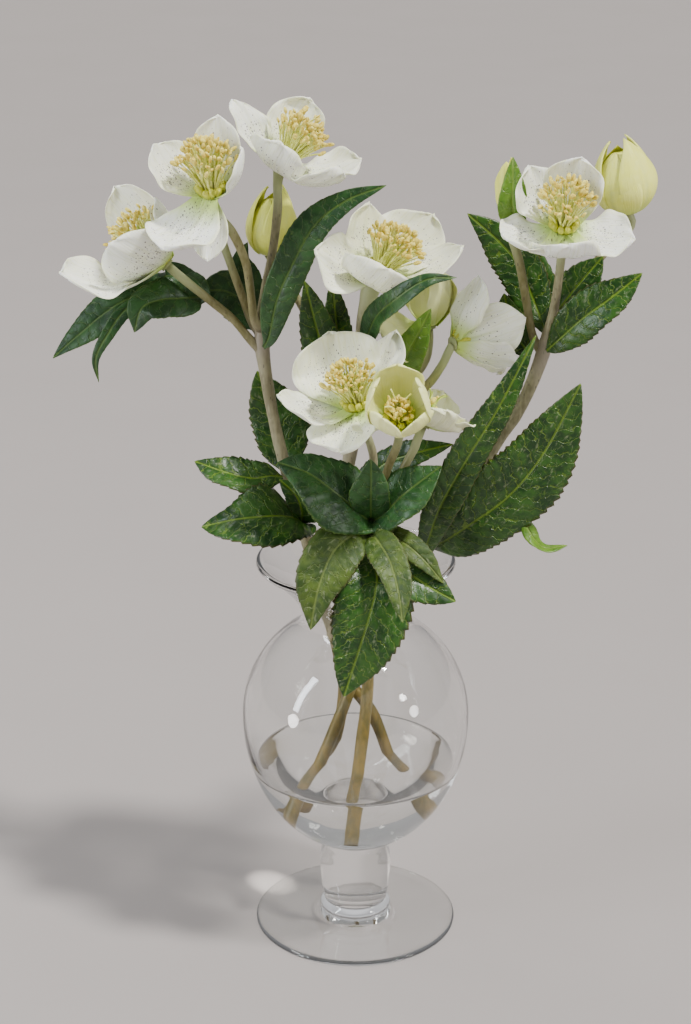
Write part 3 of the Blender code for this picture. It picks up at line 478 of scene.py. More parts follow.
class Nodes:
    """Short names for the nodes that the finishes are made of."""

    def __init__(self, tree):
        self.tree = tree

    def feed(self, socket, value):
        """A wire is joined to the socket, and a number or colour is set on it."""
        if isinstance(value, Wire):
            self.tree.links.new(value.socket, socket)
        else:
            socket.default_value = (*value, 1) if socket.type == "RGBA" else value

    def wire(self, kind, inputs=(), output=0, **settings):
        """A new node with its settings and its inputs, given in order or by name."""
        node = self.tree.nodes.new("ShaderNode" + kind)
        for name, value in settings.items():
            setattr(node, name, value)
        for name, value in inputs.items() if isinstance(inputs, dict) else enumerate(inputs):
            self.feed(node.inputs[name], value)
        return Wire(self, node.outputs[output])

    def math(self, kind, *values):
        return self.wire("Math", values, operation=kind)

    def blend(self, share, first, second):
        """The first colour gives way to the second. A Mix node's colours are its inputs 6 and 7
        and its output 2."""
        return self.wire("Mix", {0: share, 6: first, 7: second}, 2, data_type="RGBA")

    def window(self, value, low, high, start=0.0, stop=1.0):
        """Goes smoothly from start to stop while the value goes from low to high."""
        return self.wire("MapRange", (value, low, high, start, stop),
                         interpolation_type="SMOOTHSTEP")

    def mark(self, name):
        return self.wire("Attribute", output="Fac", attribute_name=name)

    def noise(self, where, scale, detail=2.0, roughness=0.55):
        return self.wire("TexNoise", {"Vector": where, "Scale": scale, "Detail": detail,
                                      "Roughness": roughness})

    def scaled(self, where, x, y, z=1.0):
        return self.wire("VectorMath", (where, (x, y, z)), operation="MULTIPLY")

    def split(self, where):
        return self.wire("SeparateXYZ", (where,))

    def map(self):
        return self.wire("UVMap", uv_map="UVMap")

    def place(self):
        return self.wire("TexCoord", output="Object")

    def bump(self, height, distance, strength):
        return self.wire("Bump", {"Strength": strength, "Distance": distance, "Height": height})

    def effect(self, tree, where, **values):
        return self.wire("Group", {"Vector": where, **values}, node_tree=tree)


class Finish(Nodes):
    """A new material and its Principled shader, with its constants on their own sockets."""

    def __init__(self, name, roughness, **constants):
        self.material = bpy.data.materials.new(name)
        self.material.use_nodes = True
        super().__init__(self.material.node_tree)
        self.shader = self.tree.nodes["Principled BSDF"]
        self.wear(Roughness=roughness, **constants)

    def wear(self, **values):
        """Feeds the shader's sockets, whose names have _ for a space here."""
        for name, value in values.items():
            self.feed(self.shader.inputs[name.replace("_", " ")], value)
        return self.material


def new_effect(name, numbers, masks):
    """A node group that takes a vector and the named numbers and puts out the named masks."""
    tree = bpy.data.node_groups.new(name, "ShaderNodeTree")
    tree.interface.new_socket("Vector", in_out="INPUT", socket_type="NodeSocketVector")
    for label, value in numbers.items():
        socket = tree.interface.new_socket(label, in_out="INPUT", socket_type="NodeSocketFloat")
        socket.default_value = value
    for label in masks:
        tree.interface.new_socket(label, in_out="OUTPUT", socket_type="NodeSocketFloat")
    nodes = Nodes(tree)
    given = Wire(nodes, tree.nodes.new("NodeGroupInput").outputs[0])
    return nodes, given, tree.nodes.new("NodeGroupOutput").inputs


def dapple_effect():
    """Soft light and dark blotches: two noises of the place, the fine one worth a third."""
    nodes, given, out = new_effect("dapple", {"Scale": 60.0}, ["Mask"])
    broad = nodes.noise(given["Vector"], given["Scale"], roughness=0.5)
    fine = nodes.noise(given["Vector"], given["Scale"] * 4.0, roughness=0.5)
    nodes.feed(out["Mask"], nodes.window(fine * 0.33 + broad * 0.67, 0.38, 0.62))
    return nodes.tree


def freckle_effect():
    """Small dark spots: cells of a Voronoi whose own random number is under the share keep a
    spot round their point, out to a radius that another of their random numbers sets."""
    nodes, given, out = new_effect("freckles", {"Scale": 10.0, "Share": 0.5}, ["Mask"])
    cells = nodes.wire("TexVoronoi", {"Vector": given["Vector"], "Scale": given["Scale"]})
    chance = nodes.wire("SeparateColor", (cells["Color"],))
    size = chance["Green"] * 0.16 + 0.16
    spot = nodes.window(size - cells["Distance"], -0.03, 0.06)
    nodes.feed(out["Mask"], spot * (chance["Red"] < given["Share"]))
    return nodes.tree


def vein_effect():
    """A leaf's veins on a map in centimetres. Side veins are lines that leave the midrib at a
    slant, one each spacing, and bend towards the tip. Between them runs a net of cell edges."""
    nodes, given, out = new_effect("veins", {"Spacing": 0.6, "Slant": 0.8, "Mesh": 5.0},
                                   ["Side", "Net", "Rib"])
    where = nodes.split(given["Vector"])
    from_rib = abs(where["Y"])
    wander = nodes.noise(given["Vector"], 2.2, roughness=0.5)
    leaning = where["X"] + wander - 0.5 - from_rib ** 1.15 * given["Slant"]
    turns = nodes.math("FRACT", leaning / given["Spacing"])
    nodes.feed(out["Side"], nodes.window(abs(turns - 0.5), 0.075, 0.02))
    stirred = nodes.wire("VectorMath", (wander["Color"], (0.35, 0.35, 0.35), given["Vector"]),
                         operation="MULTIPLY_ADD")
    cells = nodes.wire("TexVoronoi", {"Vector": stirred, "Scale": given["Mesh"]},
                       feature="DISTANCE_TO_EDGE")
    thin = nodes.window(cells["Distance"], 0.085, 0.01)
    nodes.feed(out["Net"], thin * nodes.window(wander, 0.40, 0.62))
    nodes.feed(out["Rib"], nodes.window(from_rib, 0.085, 0.03))
    return nodes.tree


DAPPLE, FRECKLES, VEINS = dapple_effect(), freckle_effect(), vein_effect()


def sepal_finish():
    """White sepal: green towards its base, fine long veins, dark freckles round the middle, and
    a yellow-green wash by each flower's own amount."""
    skin = Finish("sepal_skin", 0.46, Subsurface_Weight=0.18, Specular_IOR_Level=0.42,
                  Subsurface_Radius=(0.004, 0.0045, 0.002))
    along, aside = skin.mark("along"), abs(skin.mark("across"))
    where = skin.map()
    blotch = skin.effect(DAPPLE, where, Scale=0.9)
    lines = skin.window(skin.noise(skin.scaled(where, 0.7, 11.0), 1.0), 0.50, 0.62)
    colour = skin.blend(blotch, (0.86, 0.875, 0.83), (0.92, 0.925, 0.91))
    colour = skin.blend(lines * 0.26, colour, (0.66, 0.70, 0.38))
    wash = skin.window(blotch, 0, 1) * 0.08 + skin.mark("green") ** 1.25
    rim = skin.window(aside, 0.76, 1.0) * 0.26
    colour = skin.blend(wash | rim, colour, (0.74, 0.76, 0.13))
    base = skin.window(along, 0.42, 0.04)
    colour = skin.blend(base * 0.85, colour, (0.42, 0.58, 0.05))
    rib = skin.window(aside, 0.12, 0.0) * skin.window(along, 0.9, 0.3)
    colour = skin.blend(rib * 0.30, colour, (0.46, 0.54, 0.20))
    share = skin.window(along, 0.92, 0.35) * skin.window(aside, 0.95, 0.35) * skin.mark("spots")
    fine = skin.effect(FRECKLES, skin.scaled(where, 1.0, 1.6), Scale=6.5, Share=share * 1.25)
    dust = skin.effect(FRECKLES, skin.scaled(where, 1.0, 1.5), Scale=12.0, Share=share * 0.65)
    colour = skin.blend((fine | dust * 0.8) * 0.95, colour, (0.040, 0.012, 0.030))
    return skin.wear(Base_Color=colour, Roughness=skin.window(blotch, 0, 1, 0.52, 0.40),
                     Normal=skin.bump(lines * 0.6 + blotch * 0.4, 0.00025, 0.6))


def leaf_finish(name, dark, light, vein, edge, rough, painted_sheen, net, side):
    """Leaf: two greens dappled together, paler side veins, net and midrib, silvery patches of
    painted sheen and an edge of its own colour."""
    leaf = Finish(name, rough, Specular_IOR_Level=0.45)
    where = leaf.map()
    blotch = leaf.effect(DAPPLE, where, Scale=0.8)
    veins = leaf.effect(VEINS, where, Spacing=0.70, Slant=0.75, Mesh=3.4)
    colour = leaf.blend(blotch, dark, light)
    for kind, depth in (("Net", net), ("Side", side), ("Rib", 0.30 + 0.6 * side)):
        colour = leaf.blend(veins[kind] * depth, colour, vein)
    # Painted sheen: where a stretched noise is high, a silvery grey-green is blended into the colour
    # and the surface is a little rougher.
    sheen_patches = leaf.window(leaf.noise(leaf.scaled(where, 1.0, 2.2), 2.0, 4.0, 0.65), 0.57, 0.68)
    colour = leaf.blend(sheen_patches * painted_sheen, colour, (0.19, 0.22, 0.12))
    rim = leaf.window(abs(leaf.mark("across")), 0.93, 1.0)
    colour = leaf.blend(rim * 0.8, colour, edge)
    relief = blotch * 0.3 - (veins["Net"] * 0.35 | veins["Side"] | veins["Rib"])
    return leaf.wear(Base_Color=colour, Normal=leaf.bump(relief, 0.0005, 0.8),
                     Roughness=leaf.window(sheen_patches, 0, 1, rough, rough + 0.16))


def stem_finish(name, low, high, speck):
    """Stem: tan above the vase and olive yellow down in it, with short dark flecks along it, a
    greyer, pinker skin at its swollen joints and a greener one below its flower."""
    stem = Finish(name, 0.5, Specular_IOR_Level=0.4)
    where = stem.place()
    wet = stem.window(stem.split(where)["Z"], 0.200, 0.110)
    blotch = stem.effect(DAPPLE, stem.scaled(where, 1.0, 1.0, 0.35), Scale=190.0)
    flecks = stem.effect(FRECKLES, stem.scaled(where, 1.0, 1.0, 0.3), Scale=900.0, Share=0.32)
    colour = stem.blend(flecks * 0.75, stem.blend(blotch, low, high), speck)
    stain = stem.blend(blotch, (0.100, 0.080, 0.002), (0.190, 0.120, 0.003))
    colour = stem.blend(wet * 0.92, colour, stain)
    colour = stem.blend(stem.mark("green") * 0.6, colour, (0.27, 0.23, 0.19))
    colour = stem.blend(stem.mark("spots") * 0.8, colour, (0.36, 0.40, 0.20))
    streak = stem.noise(stem.scaled(where, 1.0, 1.0, 0.06), 1400.0)
    return stem.wear(Base_Color=colour, Normal=stem.bump(streak, 0.0003, 0.5),
                     Roughness=stem.window(blotch, 0, 1, 0.42, 0.58))


def small_finish(name, first, second, scale, roughness=0.5):
    """A small fleshy part: two colours dappled together, with a fine grain."""
    part = Finish(name, roughness)
    blotch = part.effect(DAPPLE, part.place(), Scale=scale)
    return part.wear(Base_Color=part.blend(blotch, first, second),
                     Normal=part.bump(blotch, 0.00015, 0.5))


def clear_finish(name, colour, bend, ripples):
    """Glass or water: it bends what is behind it, lets lamps and the room through to what it
    stands on, and lets light that has bounced more than five times go straight on, or more
    than once in the neck and lip."""
    clear = Finish(name, 0.0, Base_Color=colour, Transmission_Weight=1.0, IOR=bend)
    where = clear.place()
    clear.wear(Normal=clear.bump(clear.noise(where, ripples, 1.0), 0.0010, 0.5))
    ray = clear.wire("LightPath")
    soft = ray["Is Shadow Ray"] | ray["Is Diffuse Ray"]
    bounces = clear.window(clear.split(where)["Z"], 0.180, 0.195, 5.0, 1.0)
    straight = clear.wire("BsdfTransparent", ((0.91, 0.91, 0.905),))
    mixed = clear.wire("MixShader", (soft | (ray["Ray Depth"] > bounces),
                                     Wire(clear, clear.shader.outputs[0]), straight))
    clear.feed(clear.tree.nodes["Material Output"].inputs["Surface"], mixed)
    return clear.material


SEPAL = sepal_finish()
# Leaves: dark and light green, vein, edge, roughness, and how strong the painted silvery sheen, the
# net and the veins are.
LEAF_COLOURS = {
    "leaf_dark": ((0.006, 0.036, 0.003), (0.026, 0.088, 0.007), (0.18, 0.28, 0.02),
                  (0.075, 0.055, 0.015), 0.36, 0.60, 0.20, 0.40),
    "leaf_olive": ((0.022, 0.052, 0.003), (0.062, 0.104, 0.008), (0.17, 0.22, 0.05),
                   (0.07, 0.07, 0.015), 0.54, 0.65, 0.10, 0.30),
    "leaf_blue": ((0.006, 0.036, 0.006), (0.020, 0.076, 0.013), (0.11, 0.18, 0.03),
                  (0.06, 0.11, 0.01), 0.42, 0.10, 0.06, 0.24),
    "leaf_fresh": ((0.060, 0.150, 0.008), (0.110, 0.220, 0.015), (0.20, 0.29, 0.05),
                   (0.16, 0.22, 0.03), 0.36, 0.06, 0.10, 0.30),
}
LEAF = {kind: leaf_finish(kind, *row) for kind, row in LEAF_COLOURS.items()}
STEM = stem_finish("stem_skin", (0.180, 0.160, 0.085), (0.290, 0.265, 0.155),
                   (0.060, 0.045, 0.030))
PEDICEL = stem_finish("pedicel_skin", (0.150, 0.135, 0.045), (0.230, 0.210, 0.095),
                      (0.075, 0.04, 0.03))
FILAMENT = small_finish("filament_cream", (0.58, 0.60, 0.09), (0.80, 0.80, 0.30), 300.0)
ANTHER = small_finish("anther_ochre", (0.60, 0.43, 0.045), (0.80, 0.70, 0.17), 420.0, 0.8)
NECTARY = small_finish("nectary_green", (0.36, 0.38, 0.02), (0.56, 0.56, 0.06), 300.0, 0.35)
CARPEL = small_finish("carpel_green", (0.36, 0.48, 0.05), (0.62, 0.68, 0.16), 300.0, 0.4)
GLASS = clear_finish("vase_glass", (0.990, 0.993, 0.988), 1.5, 28.0)
WATER = clear_finish("vase_water", (0.988, 0.992, 0.984), 1.333, 45.0)


# Vase and water

def turned(name, profile, material, around=144):
    """A surface of revolution: each radius and height of the profile, turned about Z. The
    profile starts and ends on the axis, and its two ends become one point each."""
    profile = np.asarray(profile, float)
    turn = np.linspace(0, FULL_TURN, around, endpoint=False)
    radius, height = profile[1:-1, :1], profile[1:-1, 1:]
    rings = grid_of(radius * np.cos(turn), radius * np.sin(turn), height).reshape(-1, 3)
    poles = [[0, 0, profile[0, 1]], [0, 0, profile[-1, 1]]]
    made = Surfaces()
    made.take(np.vstack([rings, poles]), ring_faces(len(radius), around), 0, (0, 0), (0, 0, 0, 0))
    return made.mesh_object(name, [material])


def arc(radius, height, start, stop, count):
    """Part of an ellipse about the Z axis and the bowl's waist, from one angle above the waist
    to another."""
    angle = np.radians(np.linspace(start, stop, count))
    return np.stack([radius * np.cos(angle), WAIST + height * np.sin(angle)], 1)


def bezier(points, count):
    """Cubic Bezier curve: each point weighted by its Bernstein polynomial."""
    t = np.linspace(0, 1, count)[:, None]
    a, b, c, d = np.asarray(points, float)
    return (1 - t) ** 3 * a + 3 * t * (1 - t) ** 2 * b + 3 * t * t * (1 - t) * c + t ** 3 * d


def lip_and_neck(wall, count):
    """From the lip down through the neck to the shoulder, on the glass's outside when wall is 0
    and moved in along the surface by the wall otherwise."""
    above = SHOULDER - WAIST
    shoulder = math.sqrt(BOWL_RADIUS ** 2 - above ** 2)
    narrowest = (NECK_RADIUS, NECK_LEVEL)
    flare = bezier([(LIP_RADIUS, LIP_LEVEL), (41.2, 197), (NECK_RADIUS, 188), narrowest], count)
    neck = bezier([narrowest, (NECK_RADIUS, 172.5), (shoulder - 5, SHOULDER + 5 * shoulder / above),
                   (shoulder, SHOULDER)], count // 2)
    line = np.vstack([flare, neck[1:]])
    along = unit(np.gradient(line, axis=0))
    return line + np.stack([along[:, 1], -along[:, 0]], 1) * wall


def glass_profile():
    """Outside from the foot's underside up to the lip, over the rounded rim, and down the
    inside to the bowl's floor. It runs from axis to axis."""
    foot = curve_through([(51.0, 0.0), (52.4, 0.4), (52.7, 1.2), (52.3, 2.0), (51.0, 2.4)], 12)
    web = curve_through([(51.0, 2.4), (40, 2.7), (30, 3.4), (22, 4.3), (18.4, 5.6),
                         (17.3, 6.6)], 24)
    ring = curve_through([(17.3, 6.6), (18.3, 8.0), (18.4, 9.6), (17.4, 11.2), (16.3, 12.4)], 16)
    knop = curve_through([(16.3, 12.4), (16.8, 14.5), (17.8, 20), (18.6, 28), (18.5, 36),
                          (17.5, 43), (16.9, 46.2), (17.3, 48.2), (19.6, 49.9)], 40)
    knop_end, inner_shoulder = 20.6, 44.8
    lowest = -math.degrees(math.acos(knop_end / BOWL_RADIUS))
    highest = math.degrees(math.asin((SHOULDER - WAIST) / BOWL_RADIUS))
    bowl = arc(BOWL_RADIUS, BOWL_DEPTH, lowest, 0, 48)
    dome = arc(BOWL_RADIUS, BOWL_RADIUS, 0, highest, 28)
    up = lip_and_neck(0.0, 34)[::-1]
    turn = np.radians(np.linspace(-50, 150, 12))
    rim = np.stack([LIP_RADIUS - 1.5 + 1.7 * np.cos(turn), LIP_LEVEL + 0.1 + 1.55 * np.sin(turn)], 1)
    down = lip_and_neck(WALL, 34)
    inner = BOWL_RADIUS - WALL
    inner_dome = arc(inner, inner, math.degrees(math.asin(inner_shoulder / inner)), 0, 28)
    inner_bowl = arc(inner, BOWL_DEPTH - BOWL_FLOOR, 0, -89, 56)
    return np.vstack([[(0, 0.9), (38, 0.5), (46, 0.0)], foot, web[1:], ring[1:], knop[1:], bowl[1:],
                      dome[1:], up[1:-2], rim, down[2:-1], inner_dome, inner_bowl[1:], [(0, 52.0)]])


def water_profile():
    """From the bottom up the wall, a quarter of a millimetre into the glass, to the level, where
    the water climbs the wall a little and dips towards the middle."""
    radius = BOWL_RADIUS - WALL + WATER_IN_GLASS
    depth = BOWL_DEPTH - BOWL_FLOOR + WATER_IN_GLASS
    top = math.degrees(math.asin((WATER_LEVEL + WATER_CLIMB - WAIST) / 67.8))
    wall = arc(radius, depth, -89, top, 60)
    edge = wall[-1, 0]
    out = np.linspace(0, 1, 24)
    surface = np.stack([edge * (1 - out), WATER_LEVEL + WATER_CLIMB * np.exp(-out * edge / 2.2)], 1)
    return np.vstack([[(0, 51.75)], wall, surface[1:]])


stand_for(turned("vase_glass", glass_profile(), GLASS), "vase vase_shoulder vase_neck", "glass")
stand_for(turned("vase_water", water_profile(), WATER, 96), "water", "water")


# Stems and pedicels

def make_stem(name, points, sides=18):
    """A tube along the curve through the points. Its radius follows the points' own, with a
    slow swell of a few hundredths, and a pedicel widens where it leaves its stem. The mark
    green is for its swollen joints here, and the mark spots for its fresh upper end."""
    stem = name.startswith("stem")
    usual = STEM_RADIUS if stem else PEDICEL_RADIUS
    rows = np.array([(*point, usual)[:4] for point in points], float)
    length = np.linalg.norm(np.diff(rows[:, :3], axis=0), axis=1).sum()
    path = curve_through(rows, max(16, int(length / 2.5)))
    run = np.linspace(0, length, len(path))
    radius = path[:, 3] * (1 + 0.04 * np.sin(run / 11.0 + len(name)) + 0.02 * np.sin(run / 3.7))
    joint = np.clip((path[:, 3] - usual) / 0.5, 0, 1)
    if not stem:
        joint = np.maximum(joint, np.exp(-run / 5.0))
        radius = radius * (1 + 0.35 * np.exp(-run / 3.5))
    marks = np.zeros((len(path) * sides + 2, 4))
    marks[:-2, 2] = np.repeat(joint, sides)
    marks[:-2, 3] = np.repeat(np.clip((run - length + 26) / 16, 0, 1), sides)
    made = Surfaces()
    made.tube(path[:, :3], radius, sides, 0, marks)
    if name == "pedicel_hidden":
        grow_hidden_bud(made, path[-1, :3])
    skins = [STEM if stem else PEDICEL, SEPAL]
    stand_for(made.mesh_object(name + "_skin", skins), name, "stem" if stem else "pedicel")


def grow_hidden_bud(made, start):
    """The small bud at the back: a tube that swells to 4 mm and closes again."""
    place = np.linspace(0, 1, 20)
    path = start + np.outer(place, (-2.2, 0.4, 11.0))
    made.tube(path, 0.3 + 3.8 * swell(place, 0.42, 0.6), 16, 1, (0.5, 0.5, 0.5, 0.0))


for stem_name, stem_points in STEMS.items():
    make_stem(stem_name, stem_points)


# Flowers

def sepal_width(places, widest=0.58):
    """Share of the half width along a sepal: a third at its base, full a little past half way,
    and rounded in to a short point."""
    low = 0.34 + 0.66 * np.sin(np.clip(places / widest, 0, 1) * np.pi / 2) ** 1.2
    past = np.clip(places - widest, 0, 1) / (1 - widest)
    high = np.clip(1 - past ** 2.3, 0, 1) ** 0.62
    return np.where(places < widest, low, high)


def sepal_sheet(centre, axes, sepal, ruffled, seed, rows=38, columns=23):
    """One sepal. Its midline goes from the receptacle's edge to the tip, bellying out from the
    axis by a parabola and curling back at the end; across it the sheet is cupped by the
    square of the distance from the midline, and its edge waves a little. Over its first six
    tenths the sheet turns about its midline by the twist."""
    axis, right, back = axes
    turn, reach, rise, half_width, belly, curl, twist = (*sepal, 0)[:7]
    chance = np.random.default_rng(seed)
    out = right * math.cos(math.radians(turn)) + back * math.sin(math.radians(turn))
    base = out * 3.0 + axis * 0.2
    chord = out * reach + axis * rise - base
    across = np.cross(axis, out)
    behind = unit(np.cross(across, chord))
    if behind @ (out * rise - axis * reach) < 0:
        behind = -behind
    place = np.linspace(0, 1, rows)
    s = (place - 0.03 * np.sin(FULL_TURN * place))[:, None]
    v = np.linspace(-1, 1, columns)
    width = np.maximum(half_width * sepal_width(s), 0.25)
    middle = base + s * chord + (4 * belly * s * (1 - s) + curl * s ** 4) * behind
    skew = chance.uniform(-0.06, 0.06) * half_width
    middle = middle + skew * np.sin(np.pi * s) * 2 * across
    turned_by = math.radians(twist) * np.clip(s / 0.6, 0, 1) ** 0.8
    across, behind = (np.cos(turned_by) * across + np.sin(turned_by) * behind,
                      np.cos(turned_by) * behind - np.sin(turned_by) * across)
    wave = chance.uniform(0, LATEST_PHASE, 3)
    half, off = np.sign(v), np.abs(v)
    ruffle = (0.075 * np.sin(7.5 * s + wave[0] + 2.2 * half) * off ** 2.5
              + 0.038 * np.sin(17 * s + wave[1] + 1.7 * half) * off ** 3
              + 0.022 * np.sin(9 * v + wave[2]) * s ** 2) * half_width * ruffled
    channel = 0.035 * half_width * np.exp(-(v / 0.10) ** 2) * (1 - s)
    lift = ruffle * np.minimum(s * 2.2, 1) - 0.26 * width * v ** 2 - channel
    grid = (centre + middle[:, None] + across[:, None] * (v * width)[..., None]
            + behind[:, None] * lift[..., None] - chord * (0.055 * off ** 2 * s ** 2)[..., None])
    length = np.linalg.norm(chord) / 10
    return grid, grid_of(s * length + seed * 3.7, v * width / 10), s, v


def stance(flower):
    return np.array(flower["centre"], float), flower_axes(flower["facing"])


def make_sepals(number, flower, levels=(0.0, 0.9, 0.2, 1.1, 0.55)):
    """Five sepals on a short cup. Each starts at its own level, so that they overlap."""
    made = Surfaces()
    centre, axes = stance(flower)
    for which, sepal in enumerate(flower["sepals"]):
        seed = int(number) * 10 + which
        grid, mapped, s, v = sepal_sheet(centre, axes, sepal, flower["ruffle"], seed)
        green = flower["green"] + np.random.default_rng(seed + 500).uniform(-0.05, 0.08)
        made.sheet(grid + axes[0] * levels[which], SEPAL_THICKNESS, mapped,
                   grid_of(s, v, green, flower["spots"]))
    cup = np.linspace(0, 1, 6)
    made.tube(centre + np.outer(cup * 2.0 - 0.7, axes[0]), 3.6 - 1.0 * cup ** 2, 16, 1,
              (0, 0, 0, 1), across=axes[1])
    stand_for(made.mesh_object("flower_" + number + "_sepals", [SEPAL, PEDICEL]),
              "sepals_" + number, "sepal")


def small_pebble(sides=7, bands=4):
    """A closed pebble of radius 1: rings of latitude from the top down, between two poles."""
    tilt = np.linspace(0, np.pi, bands + 1)[1:-1, None]
    turn = np.linspace(0, FULL_TURN, sides, endpoint=False)
    rings = grid_of(np.sin(tilt) * np.cos(turn), np.sin(tilt) * np.sin(turn), np.cos(tilt))
    points = np.vstack([rings.reshape(-1, 3), [[0, 0, 1], [0, 0, -1]]])
    return points, [faces[:, ::-1] for faces in ring_faces(bands - 1, sides)]


def square_frames(direction, seed):
    """For each direction a set of three square axes, the last along the direction."""
    other = np.random.default_rng(seed).normal(size=direction.shape)
    first = unit(np.cross(direction, other))
    return np.stack([first, np.cross(direction, first), direction], 1)


def spokes(axes, turn):
    """Directions square to the axis, at those turns round it."""
    return np.outer(np.cos(turn), axes[1]) + np.outer(np.sin(turn), axes[2])


def grow_stamens(made, flower, chance, seed):
    """The filaments stand in a spiral of golden angles, the later ones further out and lower.
    Each bows outward by a power of its length, sways sideways and bears an anther."""
    count, spread, height = flower["stamens"]
    centre, axes = stance(flower)
    order = (np.arange(count) + 0.5) / count
    out = spokes(axes, np.arange(count) * GOLDEN)
    tip_out = spread * (0.22 + 0.85 * order ** 0.6) * chance.uniform(0.85, 1.12, count)
    tip_up = height * (1.22 - 0.34 * order) * chance.uniform(0.84, 1.06, count)
    foot_out = 1.6 + 1.9 * order
    t = np.linspace(0, 1, 8)
    reach = foot_out[:, None] + (tip_out - foot_out)[:, None] * t ** 1.5
    rise = 0.9 + tip_up[:, None] * t * (1.18 - 0.18 * t)
    sway = (chance.normal(size=(count, 1)) * 1.1) * np.sin(np.pi * t)
    side = np.cross(axes[0], out)
    paths = (centre + out[:, None] * reach[..., None] + axes[0] * rise[..., None]
             + side[:, None] * sway[..., None])
    thin = np.linspace(0.52, 0.34, len(t))
    for path in paths:
        made.tube(path, thin, 5, 0, across=unit(path[0] - path[-1] + 0.01)[::-1])
    pebble, faces = small_pebble()
    lean = unit(paths[:, -1] - paths[:, -2] + chance.normal(size=(count, 3)) * 0.85)
    frames = square_frames(lean, seed) * np.array([1.20, 0.80, 2.00])[None, :, None]
    size = chance.uniform(0.65, 1.25, count)[:, None, None]
    made.stamps(pebble, faces, paths[:, -1], frames * size, 1)


def grow_nectaries(made, flower, chance):
    """A ring of small green horns round the stamens' foot, each a tube that swells upward."""
    centre, axes = stance(flower)
    horns = 12 if flower["stamens"][1] > 9 else 8
    ways = spokes(axes, np.linspace(0, FULL_TURN, horns, endpoint=False) + 0.2)
    t = np.linspace(0, 1, 7)
    for way, tall in zip(ways, chance.uniform(4.8, 6.6, horns)):
        path = centre + np.outer(3.6 + 3.4 * t ** 1.3, way) + np.outer(0.9 + tall * t, axes[0])
        made.tube(path, 0.55 + 1.35 * swell(0.15 + 0.8 * t, 0.66, 0.8), 8, 2, across=axes[1])


def grow_carpels(made, flower):
    """The carpels in the middle: tubes with a round belly, whose thin tips bend outward. A small
    flower's stand taller and further apart, and a green flower's are cream."""
    centre, axes = stance(flower)
    spread, height = flower["stamens"][1:]
    fruits, girth = flower["carpels"]
    tall, bend = (1.7 * height, 4.5) if spread < 7 else (height, 2.2)
    t = np.linspace(0, 1, 16)
    for way in spokes(axes, np.linspace(0, FULL_TURN, fruits, endpoint=False) + 0.5):
        path = (centre + np.outer(0.9 + 1.6 * t + bend * t ** 5, way)
                + np.outer(0.6 + tall * t * (1 - 0.10 * t ** 3), axes[0]))
        belly = 0.40 + girth * np.exp(-((t - 0.30) / 0.22) ** 2)
        made.tube(path, belly, 9, 0 if flower["green"] > 0.7 else 3, across=axes[1])


def make_stamens(number, flower):
    made = Surfaces()
    chance = np.random.default_rng(int(number) * 77)
    grow_stamens(made, flower, chance, int(number))
    grow_nectaries(made, flower, chance)
    grow_carpels(made, flower)
    skins = [FILAMENT, ANTHER, NECTARY, CARPEL]
    stand_for(made.mesh_object("flower_" + number + "_stamens", skins), "stamens_" + number,
              "stamen")


for flower_number, flower_row in FLOWERS.items():
    make_sepals(flower_number, flower_row)
    if flower_row["stamens"]:
        make_stamens(flower_number, flower_row)


# Buds

def make_bud(name, centre, facing, length, radius, petals, green):
    """A closed bud: sepals wrapped one over the next. Each is part of an egg, whose radius
    swells from the base and comes in to the point, and covers 1.6 times its share of the
    turn. One edge lies further out than the other, so that they overlap."""
    axes = flower_axes(facing)
    centre = np.array(centre, float)
    made = Surfaces()
    s, v = np.linspace(0, 1, 36)[:, None], np.linspace(-1, 1, 25)
    profile = radius * swell(0.04 + 0.93 * s, 0.40, 0.66)
    narrow = np.sqrt(np.clip(1 - (np.clip(s - 0.45, 0, 1) / 0.56) ** 2, 0.004, 1)) ** 1.2
    for which in range(petals):
        turn = FULL_TURN * which / petals + 0.4 + v * (np.pi / petals * 1.6) * narrow
        tall = length * (1.0, 0.86, 0.95, 0.80, 0.98)[which]
        grow = profile * (1 + 0.04 * v) - 0.3 * (which % 2) + 0.3 * np.abs(v) ** 3
        grow = grow - 0.45 + 1.6 * s ** 5 + 0.4 * np.sin(9 * s + which) * v ** 2
        rise = 0.3 + tall * s * (1 - 0.03 * v ** 2)
        around = np.cos(turn)[..., None] * axes[1] + np.sin(turn)[..., None] * axes[2]
        grid = centre + axes[0] * rise[..., None] + around * grow[..., None]
        mapped = grid_of(s * length / 10 + which * 2.3, v * radius / 10)
        marks = grid_of(0.15 + 0.85 * s, v, green, 0)
        made.sheet(grid[:, ::-1], BUD_THICKNESS, mapped[:, ::-1], marks[:, ::-1])
    t = np.linspace(0, 1, 12)
    core = np.maximum((radius - 1.6) * swell(0.04 + 0.90 * t, 0.42, 0.62), 0.3)
    made.tube(centre + np.outer(length * (0.02 + 0.76 * t), axes[0]), core, 16, 0,
              (0.4, 0.5, green, 0), across=axes[1])
    stand_for(made.mesh_object(name + "_sepals", [SEPAL]), name, "bud")


for bud_name, bud_row in BUDS.items():
    make_bud(bud_name, *bud_row)


# Leaves

